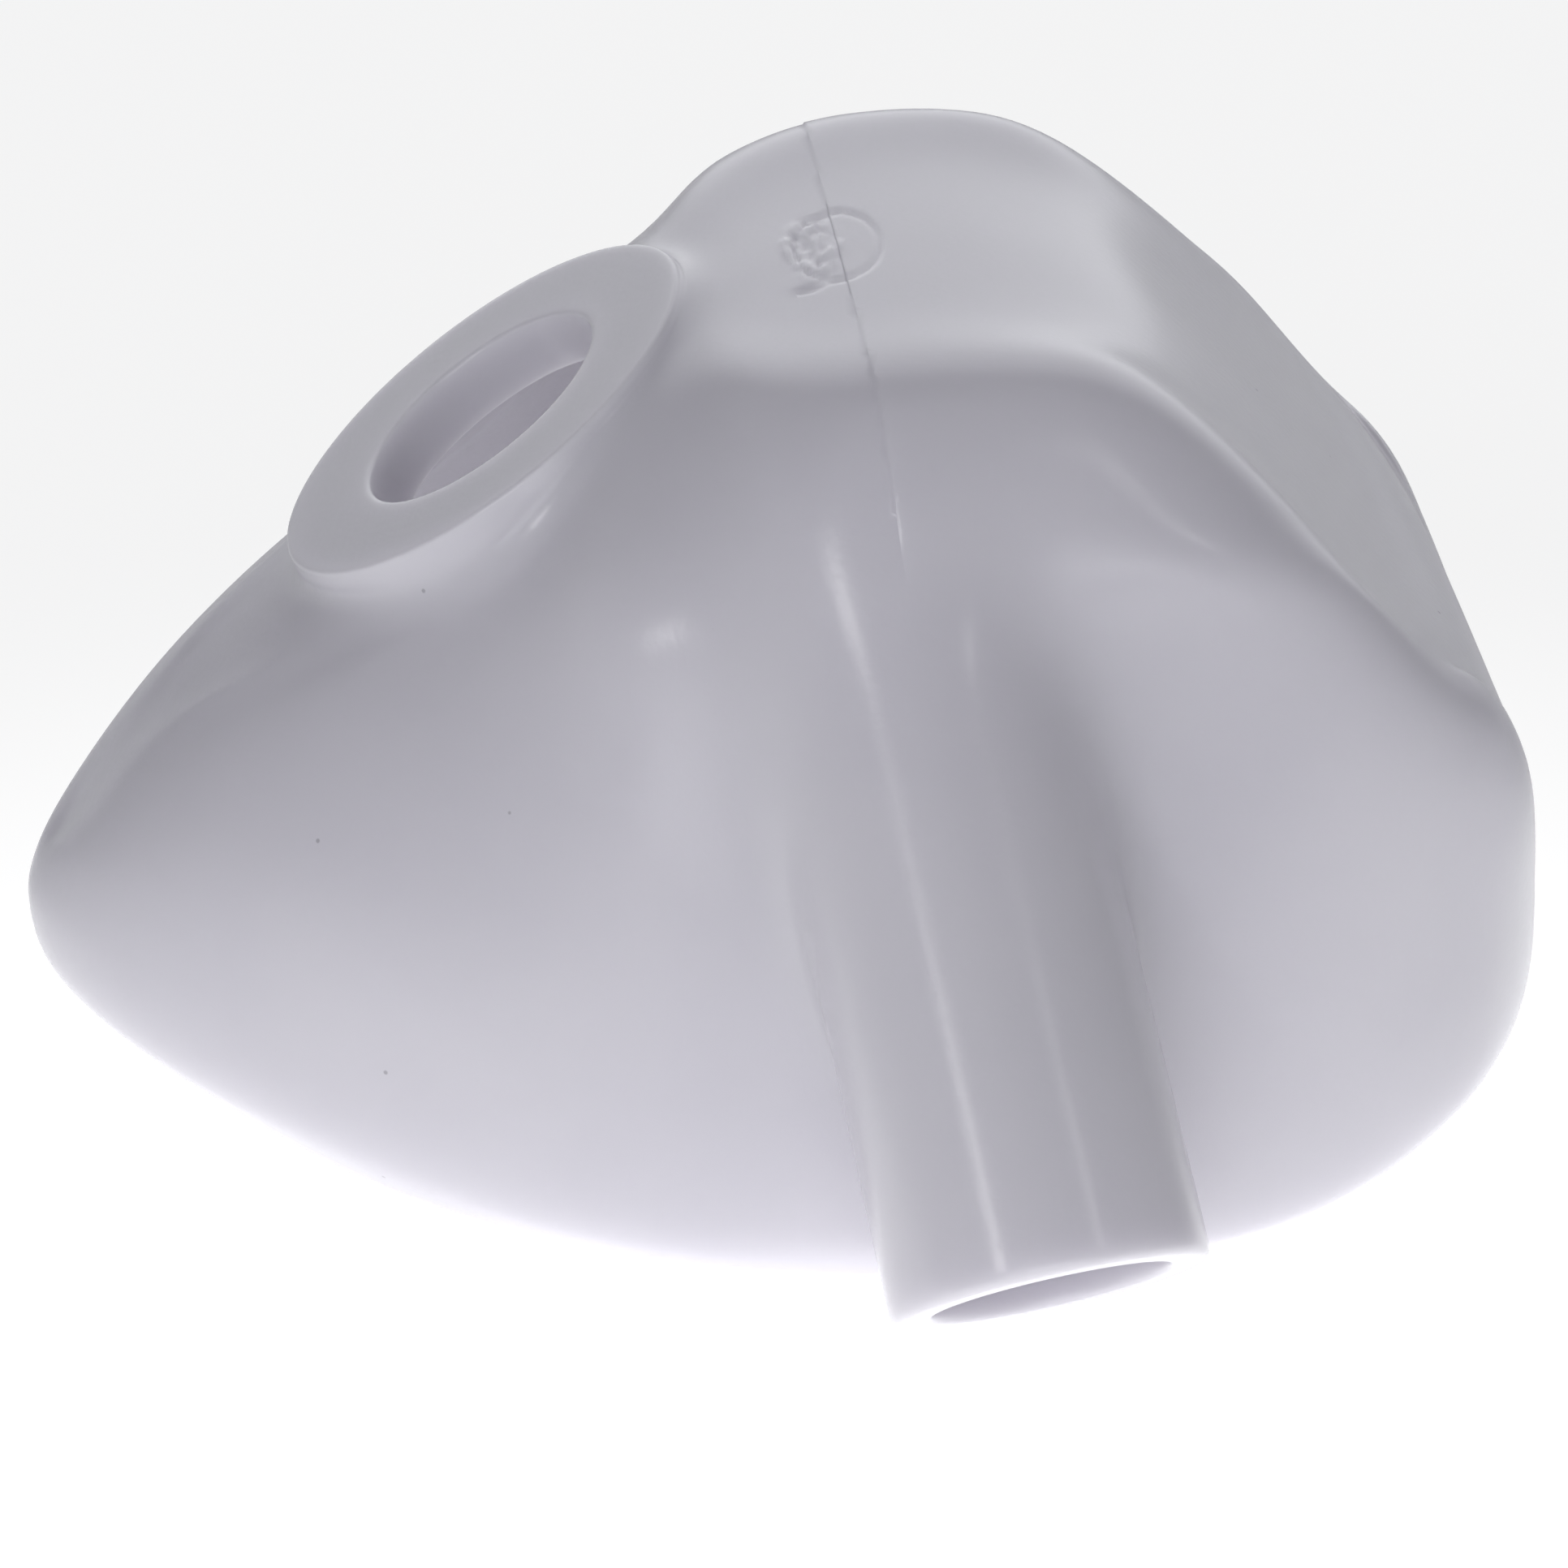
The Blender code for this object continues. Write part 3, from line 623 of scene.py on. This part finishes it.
def tube_fillet(angle):
    """Fillet size round the tube: full at its sides, small on top and in the crotch."""
    c = math.cos(math.radians(angle))
    end = TUBE_FRONT_FILLET if c > 0 else TUBE_CROTCH_FILLET
    return end + (TUBE_SIDE_FILLET - end) * (1 - c * c)


def port_frame():
    """Middle of the port's face, its outward direction and the uphill one in it."""
    tilt = math.radians(PORT_TILT)
    normal = Vector((-math.sin(tilt), 0, math.cos(tilt)))
    uphill = Vector((math.cos(tilt), 0, math.sin(tilt)))
    return Vector(PORT_CENTRE), normal, uphill


def port_point(angle, radius, height):
    """Point on the port: angle 0 is uphill, 90 on the near side, 180 downhill."""
    centre, normal, uphill = port_frame()
    a = math.radians(angle)
    p = centre + uphill * (radius * math.cos(a)) + normal * height
    p.y = -radius * math.sin(a)
    return p


def port_meet(tree, angle, radius):
    """Height over the port's face, and place, where a line on its side meets the body."""
    normal = port_frame()[1]
    start = port_point(angle, radius, PORT_RADIUS)
    hit, _, _, far = tree.ray_cast(start, -normal)
    return PORT_RADIUS - far, hit


def relax(cage, tree, fixed, near):
    """Evens out the cage round an opening, with every point kept on the body."""
    links = {}
    for face in cage.faces:
        for i, a in enumerate(face):
            b = face[(i + 1) % len(face)]
            links.setdefault(a, set()).add(b)
            links.setdefault(b, set()).add(a)
    reach = set(near)
    level = set(near)
    weight = {}
    for share in RELAX_SHARES:
        level = {b for a in level for b in links.get(a, ()) if b not in reach}
        for a in level:
            weight[a] = share
        reach |= level
    for turn in range(RELAX_ROUNDS):
        moved = {}
        for a, w in sorted(weight.items()):
            if a in fixed:
                continue
            around = sorted(links[a])
            on_line = abs(cage.points[a].y) < ON_MIDDLE
            if on_line:
                around = [b for b in around if abs(cage.points[b].y) < ON_MIDDLE]
                if len(around) < 2:
                    continue
            mean = Vector((0, 0, 0))
            for b in around:
                mean += cage.points[b]
            p = cage.points[a].lerp(mean / len(around), w)
            hit = tree.find_nearest(p)[0]
            if on_line:
                hit.y = 0.0
            moved[a] = hit
        for a, p in moved.items():
            cage.points[a] = p


def normals(cage, faces):
    """Mean direction of the faces round each vertex of the half cage."""
    total = {}
    for face in faces:
        p = [cage.points[i] for i in face]
        n = (p[2] - p[0]).cross(p[3] - p[1])
        for i in face:
            total[i] = total.get(i, Vector((0, 0, 0))) + n
    result = {}
    for i, n in total.items():
        n = n.copy()
        if abs(cage.points[i].y) < ON_MIDDLE:
            n.y = 0.0
        result[i] = n.normalized()
    return result


def even_out(values):
    """Smooths a closed run of values."""
    n = len(values)
    for turn in range(EVEN_ROUNDS):
        values = [
            (values[i - 1] + 2 * values[i] + values[(i + 1) % n]) / 4 for i in range(n)
        ]
    return values


def circle_gain(sides):
    """How far a ring's control points stand out from the circle that they give."""
    return 3.0 / (2.0 + math.cos(2 * math.pi / sides))


def body_holes(top):
    """Faces of the body that the tube and the port leave open."""
    holes = set()
    for ring in range(TUBE_LOW_RING, top - 1):
        for column in range(*TUBE_COLUMNS):
            holes.add(("ring", ring, CAP_STEPS + column))
    for column in range(*PORT_COLUMNS):
        holes.add(("ring", top - 1, CAP_STEPS + column))
        for row in range(CAP_STEPS):
            holes.add(("strip", row, column))
    return holes


def tube_loop(rings):
    """Body vertices round the tube, from its middle top toward +X."""
    left, right = (CAP_STEPS + column for column in TUBE_COLUMNS)
    middle = (left + right) // 2
    high = len(rings) - 2
    loop = rings[high][middle:right]
    loop += [rings[r][right] for r in range(high, TUBE_LOW_RING, -1)]
    loop += [rings[TUBE_LOW_RING][j] for j in range(right, left, -1)]
    loop += [rings[r][left] for r in range(TUBE_LOW_RING, high)]
    return loop + rings[high][left:middle]


def port_loop(rings, rows):
    """Body vertices round the near half of the port, from uphill to the tip side."""
    left, right = PORT_COLUMNS
    loop = [rows[row][right] for row in range(CAP_STEPS)]
    loop.append(rings[-1][CAP_STEPS + right])
    loop += [rings[-2][CAP_STEPS + c] for c in range(right, left - 1, -1)]
    loop.append(rings[-1][CAP_STEPS + left])
    return loop + [rows[row][left] for row in range(CAP_STEPS - 1, -1, -1)]


def closed(row):
    """Row of vertices that ends where it starts."""
    return list(row) + [row[0]]


def lay_tube(cage, loop, turn, starts, bore_starts):
    """Adds the tube's side, cut end and bore, and gives its rows."""
    gain = circle_gain(len(loop))
    shares = [i / TUBE_RINGS for i in range(TUBE_RINGS + 1)]
    rows = []
    for share in shares:
        row = []
        for angle, start in zip(turn, starts):
            last = TUBE_LENGTH - TUBE_END_ROUND * END_SIDE_SHARE
            down = start + (last - start) * share
            radius = TUBE_OUTER_RADIUS - TUBE_TAPER * (1 - down / TUBE_LENGTH)
            row.append(cage.add(tube_point(angle, down, radius * gain)))
        rows.append(row)
    end_radii = (
        TUBE_OUTER_RADIUS,
        TUBE_OUTER_RADIUS - TUBE_END_ROUND * END_OUTER_SHARE,
        TUBE_BORE_RADIUS + TUBE_END_ROUND * END_INNER_SHARE,
        TUBE_BORE_RADIUS,
    )
    for radius in end_radii:
        rows.append([cage.add(tube_point(a, TUBE_LENGTH, radius * gain)) for a in turn])
    for share in reversed(shares):
        row = []
        for angle, start in zip(turn, bore_starts):
            last = TUBE_LENGTH - TUBE_END_ROUND * END_BORE_SHARE
            down = start + (last - start) * share
            row.append(cage.add(tube_point(angle, down, TUBE_BORE_RADIUS * gain)))
        rows.append(row)
    for a, b in zip([loop] + rows, rows):
        cage.bridge(closed(a), closed(b))
    return rows


def lay_port(cage, loop, turn, tree):
    """Adds the near half of the port: its side, ring face and hole, as rows."""
    gain = circle_gain(2 * (len(loop) - 1))
    seat = [port_meet(tree, a, PORT_RADIUS)[0] for a in turn]
    highest = -PORT_EDGE * PORT_FOOT_DEPTH
    foot = [min(h + PORT_FILLET * PORT_FOOT_SHARE, highest) for h in seat]
    waist = [(h - PORT_EDGE) / 2 for h in foot]

    def level(height):
        return [height] * len(turn)

    rows = []
    for radius, heights in (
        (PORT_RADIUS + PORT_BULGE, foot),
        (PORT_RADIUS + PORT_BULGE, waist),
        (PORT_RADIUS, level(-PORT_EDGE)),
        (PORT_RADIUS, level(0.0)),
        (PORT_RADIUS - PORT_EDGE * PORT_FACE_OUTER, level(0.0)),
        (PORT_HOLE_RADIUS + PORT_EDGE * PORT_FACE_INNER, level(0.0)),
        (PORT_HOLE_RADIUS, level(0.0)),
        (PORT_HOLE_RADIUS, level(-PORT_EDGE)),
        (PORT_HOLE_RADIUS, level(PORT_EDGE - PORT_DEPTH)),
        (PORT_HOLE_RADIUS, level(-PORT_DEPTH)),
        (PORT_HOLE_RADIUS + PORT_EDGE * PORT_FACE_INNER, level(-PORT_DEPTH)),
    ):
        row = [cage.add(port_point(a, radius * gain, h)) for a, h in zip(turn, heights)]
        cage.points[row[0]].y = 0.0
        cage.points[row[-1]].y = 0.0
        rows.append(row)
    for a, b in zip([loop] + rows, rows):
        cage.bridge(b, a)
    return rows


def lay_inner(cage, count, body_faces, facing, places):
    """Adds the inner wall, set in from the body or at the places given for a vertex."""
    inner = {}
    for i in range(count):
        if i not in facing:
            continue
        p = places.get(i, cage.points[i] - facing[i] * WALL)
        if abs(cage.points[i].y) < ON_MIDDLE:
            p.y = 0.0
        inner[i] = cage.add(p)
    for face in body_faces:
        cage.faces.append(tuple(inner[i] for i in reversed(face)))
    return inner


def lay_rim(cage, angles, rings, inner):
    """Adds the foot and the turned-in lip, which joins the body to the inner wall."""
    foot_row = []
    lip_row = []
    for angle in angles:
        low = widest(angle)
        out = outward(widest, angle)
        base = rim_rise(angle)
        for row, inset, height in (
            (foot_row, LIP_THICKNESS * FOOT_INSET_SHARE, -FOOT_DIP),
            (lip_row, LIP_THICKNESS * LIP_INSET_SHARE, LIP_THICKNESS * LIP_RISE_SHARE),
        ):
            p = low - out * (RIM_TUCK + inset)
            p.z = base + height
            if angle in (angles[0], angles[-1]):
                p.y = 0.0
            row.append(cage.add(p))
    cage.bridge(foot_row, rings[0])
    cage.bridge(lip_row, foot_row)
    cage.bridge([inner[i] for i in rings[1]], lip_row)
    under = {inner[i] for i in rings[0]}
    cage.faces = [face for face in cage.faces if not under.intersection(face)]


def build_cage():
    """Half cage of the hood, and the vertices through which its skin has to pass."""
    cage = Cage()
    tree = body_tree()
    inner_tree = body_tree(WALL)
    angles = column_angles()
    holes = body_holes(len(WALL_STEPS) + 1)
    rings, rows = lay_body(cage, angles, WALL_STEPS, CAP_STEPS, holes)

    loop = tube_loop(rings)
    turn = [360.0 * i / len(loop) for i in range(len(loop))]
    starts = []
    bore_starts = []
    places = {}
    for i, a in zip(loop, turn):
        fillet = tube_fillet(a)
        cage.points[i] = tube_meet(tree, a, TUBE_OUTER_RADIUS + fillet)[1]
        starts.append(tube_clear(tree, a, TUBE_OUTER_RADIUS, fillet))
        places[i] = tube_meet(inner_tree, a, TUBE_BORE_RADIUS + BORE_ROUND)[1]
        bore_starts.append(tube_clear(inner_tree, a, TUBE_BORE_RADIUS, BORE_ROUND))
    starts = even_out(starts)
    bore_starts = even_out(bore_starts)

    half_loop = port_loop(rings, rows)
    half_turn = [180.0 * i / (len(half_loop) - 1) for i in range(len(half_loop))]
    for i, a in zip(half_loop, half_turn):
        cage.points[i] = port_meet(tree, a, PORT_RADIUS + PORT_FILLET)[1]
    for i in (half_loop[0], half_loop[-1]):
        cage.points[i].y = 0.0

    openings = set(loop) | set(half_loop)
    relax(cage, tree, openings | set(rings[0]) | set(rings[1]), openings)
    count = len(cage.points)
    body_faces = list(cage.faces)
    tube_rows = lay_tube(cage, loop, turn, starts, bore_starts)
    fillet_faces = cage.faces[len(body_faces) : len(body_faces) + len(loop)]
    port_rows = lay_port(cage, half_loop, half_turn, tree)
    facing = normals(cage, body_faces + fillet_faces)
    inner = lay_inner(cage, count, body_faces, facing, places)
    cage.bridge(closed(tube_rows[-1]), closed([inner[i] for i in loop]))
    cage.bridge([inner[i] for i in half_loop], port_rows[-1])
    lay_rim(cage, angles, rings, inner)

    held = {i for face in body_faces for i in face} - set(rings[0]) - openings
    return cage, held | {inner[i] for i in held}


def settle(cage, held, faces):
    """Pushes the cage out until the smooth surface passes through its laid-out points."""
    goal = [p.copy() for p in cage.points]
    mesh = bpy.data.meshes.new("trial")
    mesh.from_pydata([tuple(p) for p in cage.points], [], faces)
    trial = bpy.data.objects.new("trial", mesh)
    bpy.context.collection.objects.link(trial)
    add_smoothing(trial, 1)
    for turn in range(SETTLE_ROUNDS):
        for vertex, p in zip(mesh.vertices, cage.points):
            vertex.co = p
        mesh.update()
        view = bpy.context.evaluated_depsgraph_get()
        view.update()
        result = trial.evaluated_get(view).to_mesh()
        for i in sorted(held):
            p = cage.points[i] + (goal[i] - result.vertices[i].co) * SETTLE_SHARE
            if abs(goal[i].y) < ON_MIDDLE:
                p.y = 0.0
            cage.points[i] = p
        trial.evaluated_get(view).to_mesh_clear()
    bpy.data.objects.remove(trial, do_unlink=True)
    bpy.data.meshes.remove(mesh)


def add_smoothing(item, level):
    """Mirrors the half cage and smooths it as a subdivision surface."""
    mirror = item.modifiers.new("other_half", "MIRROR")
    mirror.use_axis = (False, True, False)
    mirror.use_clip = True
    mirror.merge_threshold = MERGE_WITHIN
    smooth = item.modifiers.new("smooth", "SUBSURF")
    smooth.levels = level
    smooth.render_levels = level


def face_outward(mesh):
    """Turns all faces the same way, with the near side of the widest ring outward."""
    work = bmesh.new()
    work.from_mesh(mesh)
    bmesh.ops.recalc_face_normals(work, faces=work.faces)
    side = min(work.faces, key=lambda f: f.calc_center_median().y)
    if side.normal.y > 0:
        bmesh.ops.reverse_faces(work, faces=work.faces)
    work.to_mesh(mesh)
    work.free()


def make_skin():
    """Fine mesh of the whole hood, in millimetres."""
    cage, held = build_cage()
    used = sorted({i for f in cage.faces for i in f})
    place = {i: n for n, i in enumerate(used)}
    faces = [tuple(place[i] for i in f) for f in cage.faces]
    cage.points = [cage.points[i] for i in used]
    settle(cage, {place[i] for i in held}, faces)
    mesh = bpy.data.meshes.new("skin_cage")
    mesh.from_pydata([tuple(p) for p in cage.points], [], faces)
    face_outward(mesh)
    item = bpy.data.objects.new("skin_cage", mesh)
    bpy.context.collection.objects.link(item)
    add_smoothing(item, SKIN_LEVEL)
    view = bpy.context.evaluated_depsgraph_get()
    view.update()
    fine = bpy.data.meshes.new_from_object(item.evaluated_get(view))
    bpy.data.objects.remove(item, do_unlink=True)
    bpy.data.meshes.remove(mesh)
    return fine


def on_outside(point, normal):
    """Whether this place is on the outer skin of the crown and shoulders."""
    away = Vector((0.0, point.y, point.z - CROWN_MIDDLE_Z))
    return normal.dot(away) > 0 and point.z > SEAM_END_Z


def seam_offset(point):
    """Distance from the mould seam's plane, less than 0 on the tip side."""
    return point.x - SEAM_X - SEAM_LEAN * (SEAM_TOP_Z - point.z)


def fade(value, full, none):
    """1 where value is at full, 0 where it is at none, and smooth between."""
    t = min(max((value - none) / (full - none), 0.0), 1.0)
    return t * t * (3 - 2 * t)


def press_seam(work):
    """Cuts the skin along the mould seam and sets its tip side a little lower."""
    for gap in (0.0, SEAM_WIDTH):
        faces = []
        for face in work.faces:
            middle = face.calc_center_median()
            if abs(seam_offset(middle)) < SEAM_FADE and on_outside(middle, face.normal):
                faces.append(face)
        parts = set(faces)
        for face in faces:
            parts.update(face.edges)
            parts.update(face.verts)
        bmesh.ops.bisect_plane(
            work,
            geom=list(parts),
            plane_co=(SEAM_X - gap, 0.0, SEAM_TOP_Z),
            plane_no=(1.0, 0.0, SEAM_LEAN),
        )
    work.normal_update()
    moves = []
    for vertex in work.verts:
        back = -seam_offset(vertex.co)
        past = SEAM_WIDTH * SEAM_PAST < back < SEAM_FADE
        if past and on_outside(vertex.co, vertex.normal):
            share = fade(back, SEAM_WIDTH, SEAM_FADE)
            share *= fade(vertex.co.z, SEAM_END_Z + SEAM_END_FADE, SEAM_END_Z)
            moves.append((vertex, vertex.normal * -SEAM_STEP * share))
    for vertex, move in moves:
        vertex.co += move


def in_halves(x, y, place, half):
    """Offset from a mark's place, in its half sizes."""
    return (x - place[0]) / half[0], (y - place[1]) / half[1]


def gate_height(x, y):
    """Height of the gate mark over the crown: a sunk oval and a torn stub beside it."""
    out = math.hypot(*in_halves(x, y, GATE_PLACE, GATE_HALF))
    height = -GATE_SINK * fade(out, GATE_EDGE, 1.0)
    height -= GATE_GROOVE * math.exp(-(((out - GROOVE_PLACE) / GROOVE_WIDTH) ** 2))
    spot = Vector((x, y * STUB_STRETCH, 0.0)) * STUB_GRAIN
    rough = noise.fractal(spot, STUB_ROUGHNESS, STUB_GAPS, STUB_OCTAVES)
    away = math.hypot(*in_halves(x, y, STUB_PLACE, STUB_HALF))
    height += STUB_HEIGHT * (rough + STUB_LIFT) * fade(away, STUB_FULL, STUB_NONE)
    u, v = in_halves(x, y, TEAR_PLACE, TEAR_HALF)
    return height - TEAR_DEPTH * math.exp(-u * u - v * v)


def near_gate(point, normal):
    """Whether this place is on the crown's outside, on or close round the gate mark."""
    reach = [half + margin for half, margin in zip(GATE_HALF, GATE_MARGIN)]
    away = math.hypot(*in_halves(point.x, point.y, GATE_PLACE, reach))
    return away < 1.0 and point.z > SEAM_END_Z and normal.z > FACING_UP


def press_gate(work):
    """Refines the crown round the gate mark and presses the mark into it."""
    edges = set()
    for face in work.faces:
        if near_gate(face.calc_center_median(), face.normal):
            edges.update(face.edges)
    bmesh.ops.subdivide_edges(work, edges=list(edges), cuts=GATE_CUTS, use_grid_fill=True)
    for vertex in work.verts:
        if near_gate(vertex.co, vertex.normal):
            vertex.co.z += gate_height(vertex.co.x, vertex.co.y)


def add_mould_marks(mesh):
    """Presses the seam and the gate mark into the skin."""
    work = bmesh.new()
    work.from_mesh(mesh)
    press_seam(work)
    work.normal_update()
    press_gate(work)
    work.to_mesh(mesh)
    work.free()


def socket(node, name, value):
    """Sets an unlinked input of a shader node."""
    node.inputs[name].default_value = value


def silicone():
    """Soft lilac grey silicone with fine grain and a few dust specks."""
    m = bpy.data.materials.new("soft_silicone")
    m.use_nodes = True
    nodes = m.node_tree.nodes
    links = m.node_tree.links
    shader = nodes["Principled BSDF"]
    socket(shader, "Roughness", SILICONE_ROUGHNESS)
    socket(shader, "IOR", SILICONE_IOR)
    socket(shader, "Subsurface Weight", SCATTER_SHARE)
    socket(shader, "Subsurface Radius", SCATTER_RADIUS)
    socket(shader, "Subsurface Scale", SCATTER_SCALE)
    place = nodes.new("ShaderNodeTexCoord")
    cloud = nodes.new("ShaderNodeTexNoise")
    socket(cloud, "Scale", TINT_CLOUDS)
    socket(cloud, "Detail", TINT_DETAIL)
    links.new(place.outputs["Object"], cloud.inputs["Vector"])
    tint = nodes.new("ShaderNodeValToRGB")
    for stop, position, colour in zip(
        tint.color_ramp.elements, TINT_SPAN, (TINT_DARK, TINT_PALE)
    ):
        stop.position = position
        stop.color = colour
    links.new(cloud.outputs["Fac"], tint.inputs["Fac"])
    specks = nodes.new("ShaderNodeTexVoronoi")
    socket(specks, "Scale", SPECK_CELLS)
    links.new(place.outputs["Object"], specks.inputs["Vector"])
    dot = nodes.new("ShaderNodeMapRange")
    socket(dot, "From Min", SPECK_SIZE)
    socket(dot, "From Max", SPECK_SIZE * SPECK_CORE)
    socket(dot, "To Max", SPECK_SHARE)
    links.new(specks.outputs["Distance"], dot.inputs["Value"])
    dusty = nodes.new("ShaderNodeMix")
    dusty.data_type = "RGBA"
    links.new(dot.outputs["Result"], dusty.inputs[0])
    links.new(tint.outputs["Color"], dusty.inputs[6])
    socket(dusty, 7, SPECK_COLOUR)
    links.new(dusty.outputs[2], shader.inputs["Base Color"])
    grain = nodes.new("ShaderNodeTexNoise")
    socket(grain, "Scale", GRAIN_CELLS)
    socket(grain, "Detail", GRAIN_DETAIL)
    links.new(place.outputs["Object"], grain.inputs["Vector"])
    bump = nodes.new("ShaderNodeBump")
    socket(bump, "Strength", GRAIN_STRENGTH)
    socket(bump, "Distance", GRAIN_HEIGHT)
    links.new(grain.outputs["Fac"], bump.inputs["Height"])
    links.new(bump.outputs["Normal"], shader.inputs["Normal"])
    return m


def make_hood():
    """The whole hood, in metres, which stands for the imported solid."""
    fine = make_skin()
    add_mould_marks(fine)
    for vertex in fine.vertices:
        p = vertex.co * MM
        vertex.co = (p.x, p.y, max(p.z, 0.0))
    for face in fine.polygons:
        face.use_smooth = True
    fine.name = "hood_skin"
    skin = bpy.data.objects.new("hood_skin", fine)
    bpy.context.collection.objects.link(skin)
    fine.materials.clear()
    fine.materials.append(silicone())
    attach(skin, "root")
    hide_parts("nasal_hood")
    return skin


def make_floor():
    """Pale floor that keeps the hood's shadow and is mostly plain white in the frame."""
    mesh = bpy.data.meshes.new("floor")
    h = FLOOR_HALF
    corners = [(-h, -h, 0), (h, -h, 0), (h, h, 0), (-h, h, 0)]
    mesh.from_pydata(corners, [], [(0, 1, 2, 3)])
    floor = bpy.data.objects.new("floor", mesh)
    bpy.context.collection.objects.link(floor)
    m = bpy.data.materials.new("floor_white")
    m.use_nodes = True
    nodes = m.node_tree.nodes
    links = m.node_tree.links
    shader = nodes["Principled BSDF"]
    socket(shader, "Base Color", FLOOR_COLOUR)
    socket(shader, "Roughness", FLOOR_ROUGHNESS)
    socket(shader, "Emission Color", GLOW_COLOUR)
    place = nodes.new("ShaderNodeTexCoord")
    away = nodes.new("ShaderNodeVectorMath")
    away.operation = "DISTANCE"
    socket(away, 1, GLOW_CENTRE)
    links.new(place.outputs["Object"], away.inputs[0])
    pool = nodes.new("ShaderNodeMapRange")
    pool.interpolation_type = "SMOOTHSTEP"
    socket(pool, "From Min", GLOW_FULL)
    socket(pool, "From Max", GLOW_NONE)
    socket(pool, "To Min", TABLE_GLOW)
    socket(pool, "To Max", 0.0)
    links.new(away.outputs["Value"], pool.inputs["Value"])
    links.new(pool.outputs["Result"], shader.inputs["Emission Strength"])
    glow = nodes.new("ShaderNodeEmission")
    socket(glow, "Strength", 1.0)
    path = nodes.new("ShaderNodeLightPath")
    share = nodes.new("ShaderNodeMath")
    share.operation = "MULTIPLY"
    socket(share, 1, FLOOR_SHOWN_WHITE)
    links.new(path.outputs["Is Camera Ray"], share.inputs[0])
    mix = nodes.new("ShaderNodeMixShader")
    links.new(share.outputs[0], mix.inputs["Fac"])
    links.new(shader.outputs[0], mix.inputs[1])
    links.new(glow.outputs[0], mix.inputs[2])
    links.new(mix.outputs[0], nodes["Material Output"].inputs["Surface"])
    mesh.materials.append(m)


def direction(azimuth, elevation):
    """Unit vector at this azimuth, 0 toward -Y and 90 toward +X, and elevation."""
    az, el = math.radians(azimuth), math.radians(elevation)
    return Vector((math.sin(az) * math.cos(el), -math.cos(az) * math.cos(el), math.sin(el)))


def make_world():
    """Dim tent with soft panels in it, and plain white behind for the camera."""
    world = bpy.data.worlds.new("studio")
    bpy.context.scene.world = world
    world.use_nodes = True
    nodes = world.node_tree.nodes
    links = world.node_tree.links
    base = nodes["Background"]
    socket(base, "Color", TENT_COLOUR)
    place = nodes.new("ShaderNodeTexCoord")
    total = None
    for azimuth, elevation, inner, outer, level in PANELS:
        along = nodes.new("ShaderNodeVectorMath")
        along.operation = "DOT_PRODUCT"
        socket(along, 1, direction(azimuth, elevation))
        links.new(place.outputs["Generated"], along.inputs[0])
        soft = nodes.new("ShaderNodeMapRange")
        soft.interpolation_type = "SMOOTHSTEP"
        socket(soft, "From Min", math.cos(math.radians(outer)))
        socket(soft, "From Max", math.cos(math.radians(inner)))
        socket(soft, "To Min", 0.0)
        socket(soft, "To Max", level)
        links.new(along.outputs["Value"], soft.inputs["Value"])
        add = nodes.new("ShaderNodeMath")
        add.operation = "ADD"
        socket(add, 0, TENT_LEVEL)
        if total:
            links.new(total, add.inputs[0])
        links.new(soft.outputs["Result"], add.inputs[1])
        total = add.outputs[0]
    links.new(total, base.inputs["Strength"])
    white = nodes.new("ShaderNodeBackground")
    socket(white, "Strength", 1.0)
    path = nodes.new("ShaderNodeLightPath")
    mix = nodes.new("ShaderNodeMixShader")
    links.new(path.outputs["Is Camera Ray"], mix.inputs["Fac"])
    links.new(base.outputs[0], mix.inputs[1])
    links.new(white.outputs[0], mix.inputs[2])
    links.new(mix.outputs[0], nodes["World Output"].inputs["Surface"])


def lamp(name, azimuth, elevation, width, height, radiance):
    """Small soft lamp that leaves the streaks on the curved sides."""
    away = direction(azimuth, elevation)
    data = bpy.data.lights.new(name, "AREA")
    data.shape = "RECTANGLE"
    data.size = width
    data.size_y = height
    data.energy = radiance * math.pi * width * height
    item = bpy.data.objects.new(name, data)
    bpy.context.collection.objects.link(item)
    item.location = away * LAMP_DISTANCE + Vector((0, 0, LAMP_AIM_Z))
    item.rotation_euler = away.to_track_quat("Z", "Y").to_euler()


def make_camera():
    """Camera at the photograph's angle and scale."""
    data = bpy.data.cameras.new("camera")
    camera = bpy.data.objects.new("camera", data)
    bpy.context.collection.objects.link(camera)
    away = direction(CAMERA_AZIMUTH, CAMERA_ELEVATION)
    camera.location = (Vector(CAMERA_TARGET) + away * CAMERA_DISTANCE) * MM
    camera.rotation_euler = (-away).to_track_quat("-Z", "Y").to_euler()
    data.sensor_width = SENSOR_WIDTH
    data.lens = data.sensor_width * CAMERA_DISTANCE * PIXELS_PER_MM / FRAME_PIXELS
    data.clip_start = CLIP_START
    bpy.context.scene.camera = camera


make_hood()
make_floor()
make_world()
for values in LAMPS:
    lamp(*values)
make_camera()
bpy.context.scene.view_settings.view_transform = "Standard"
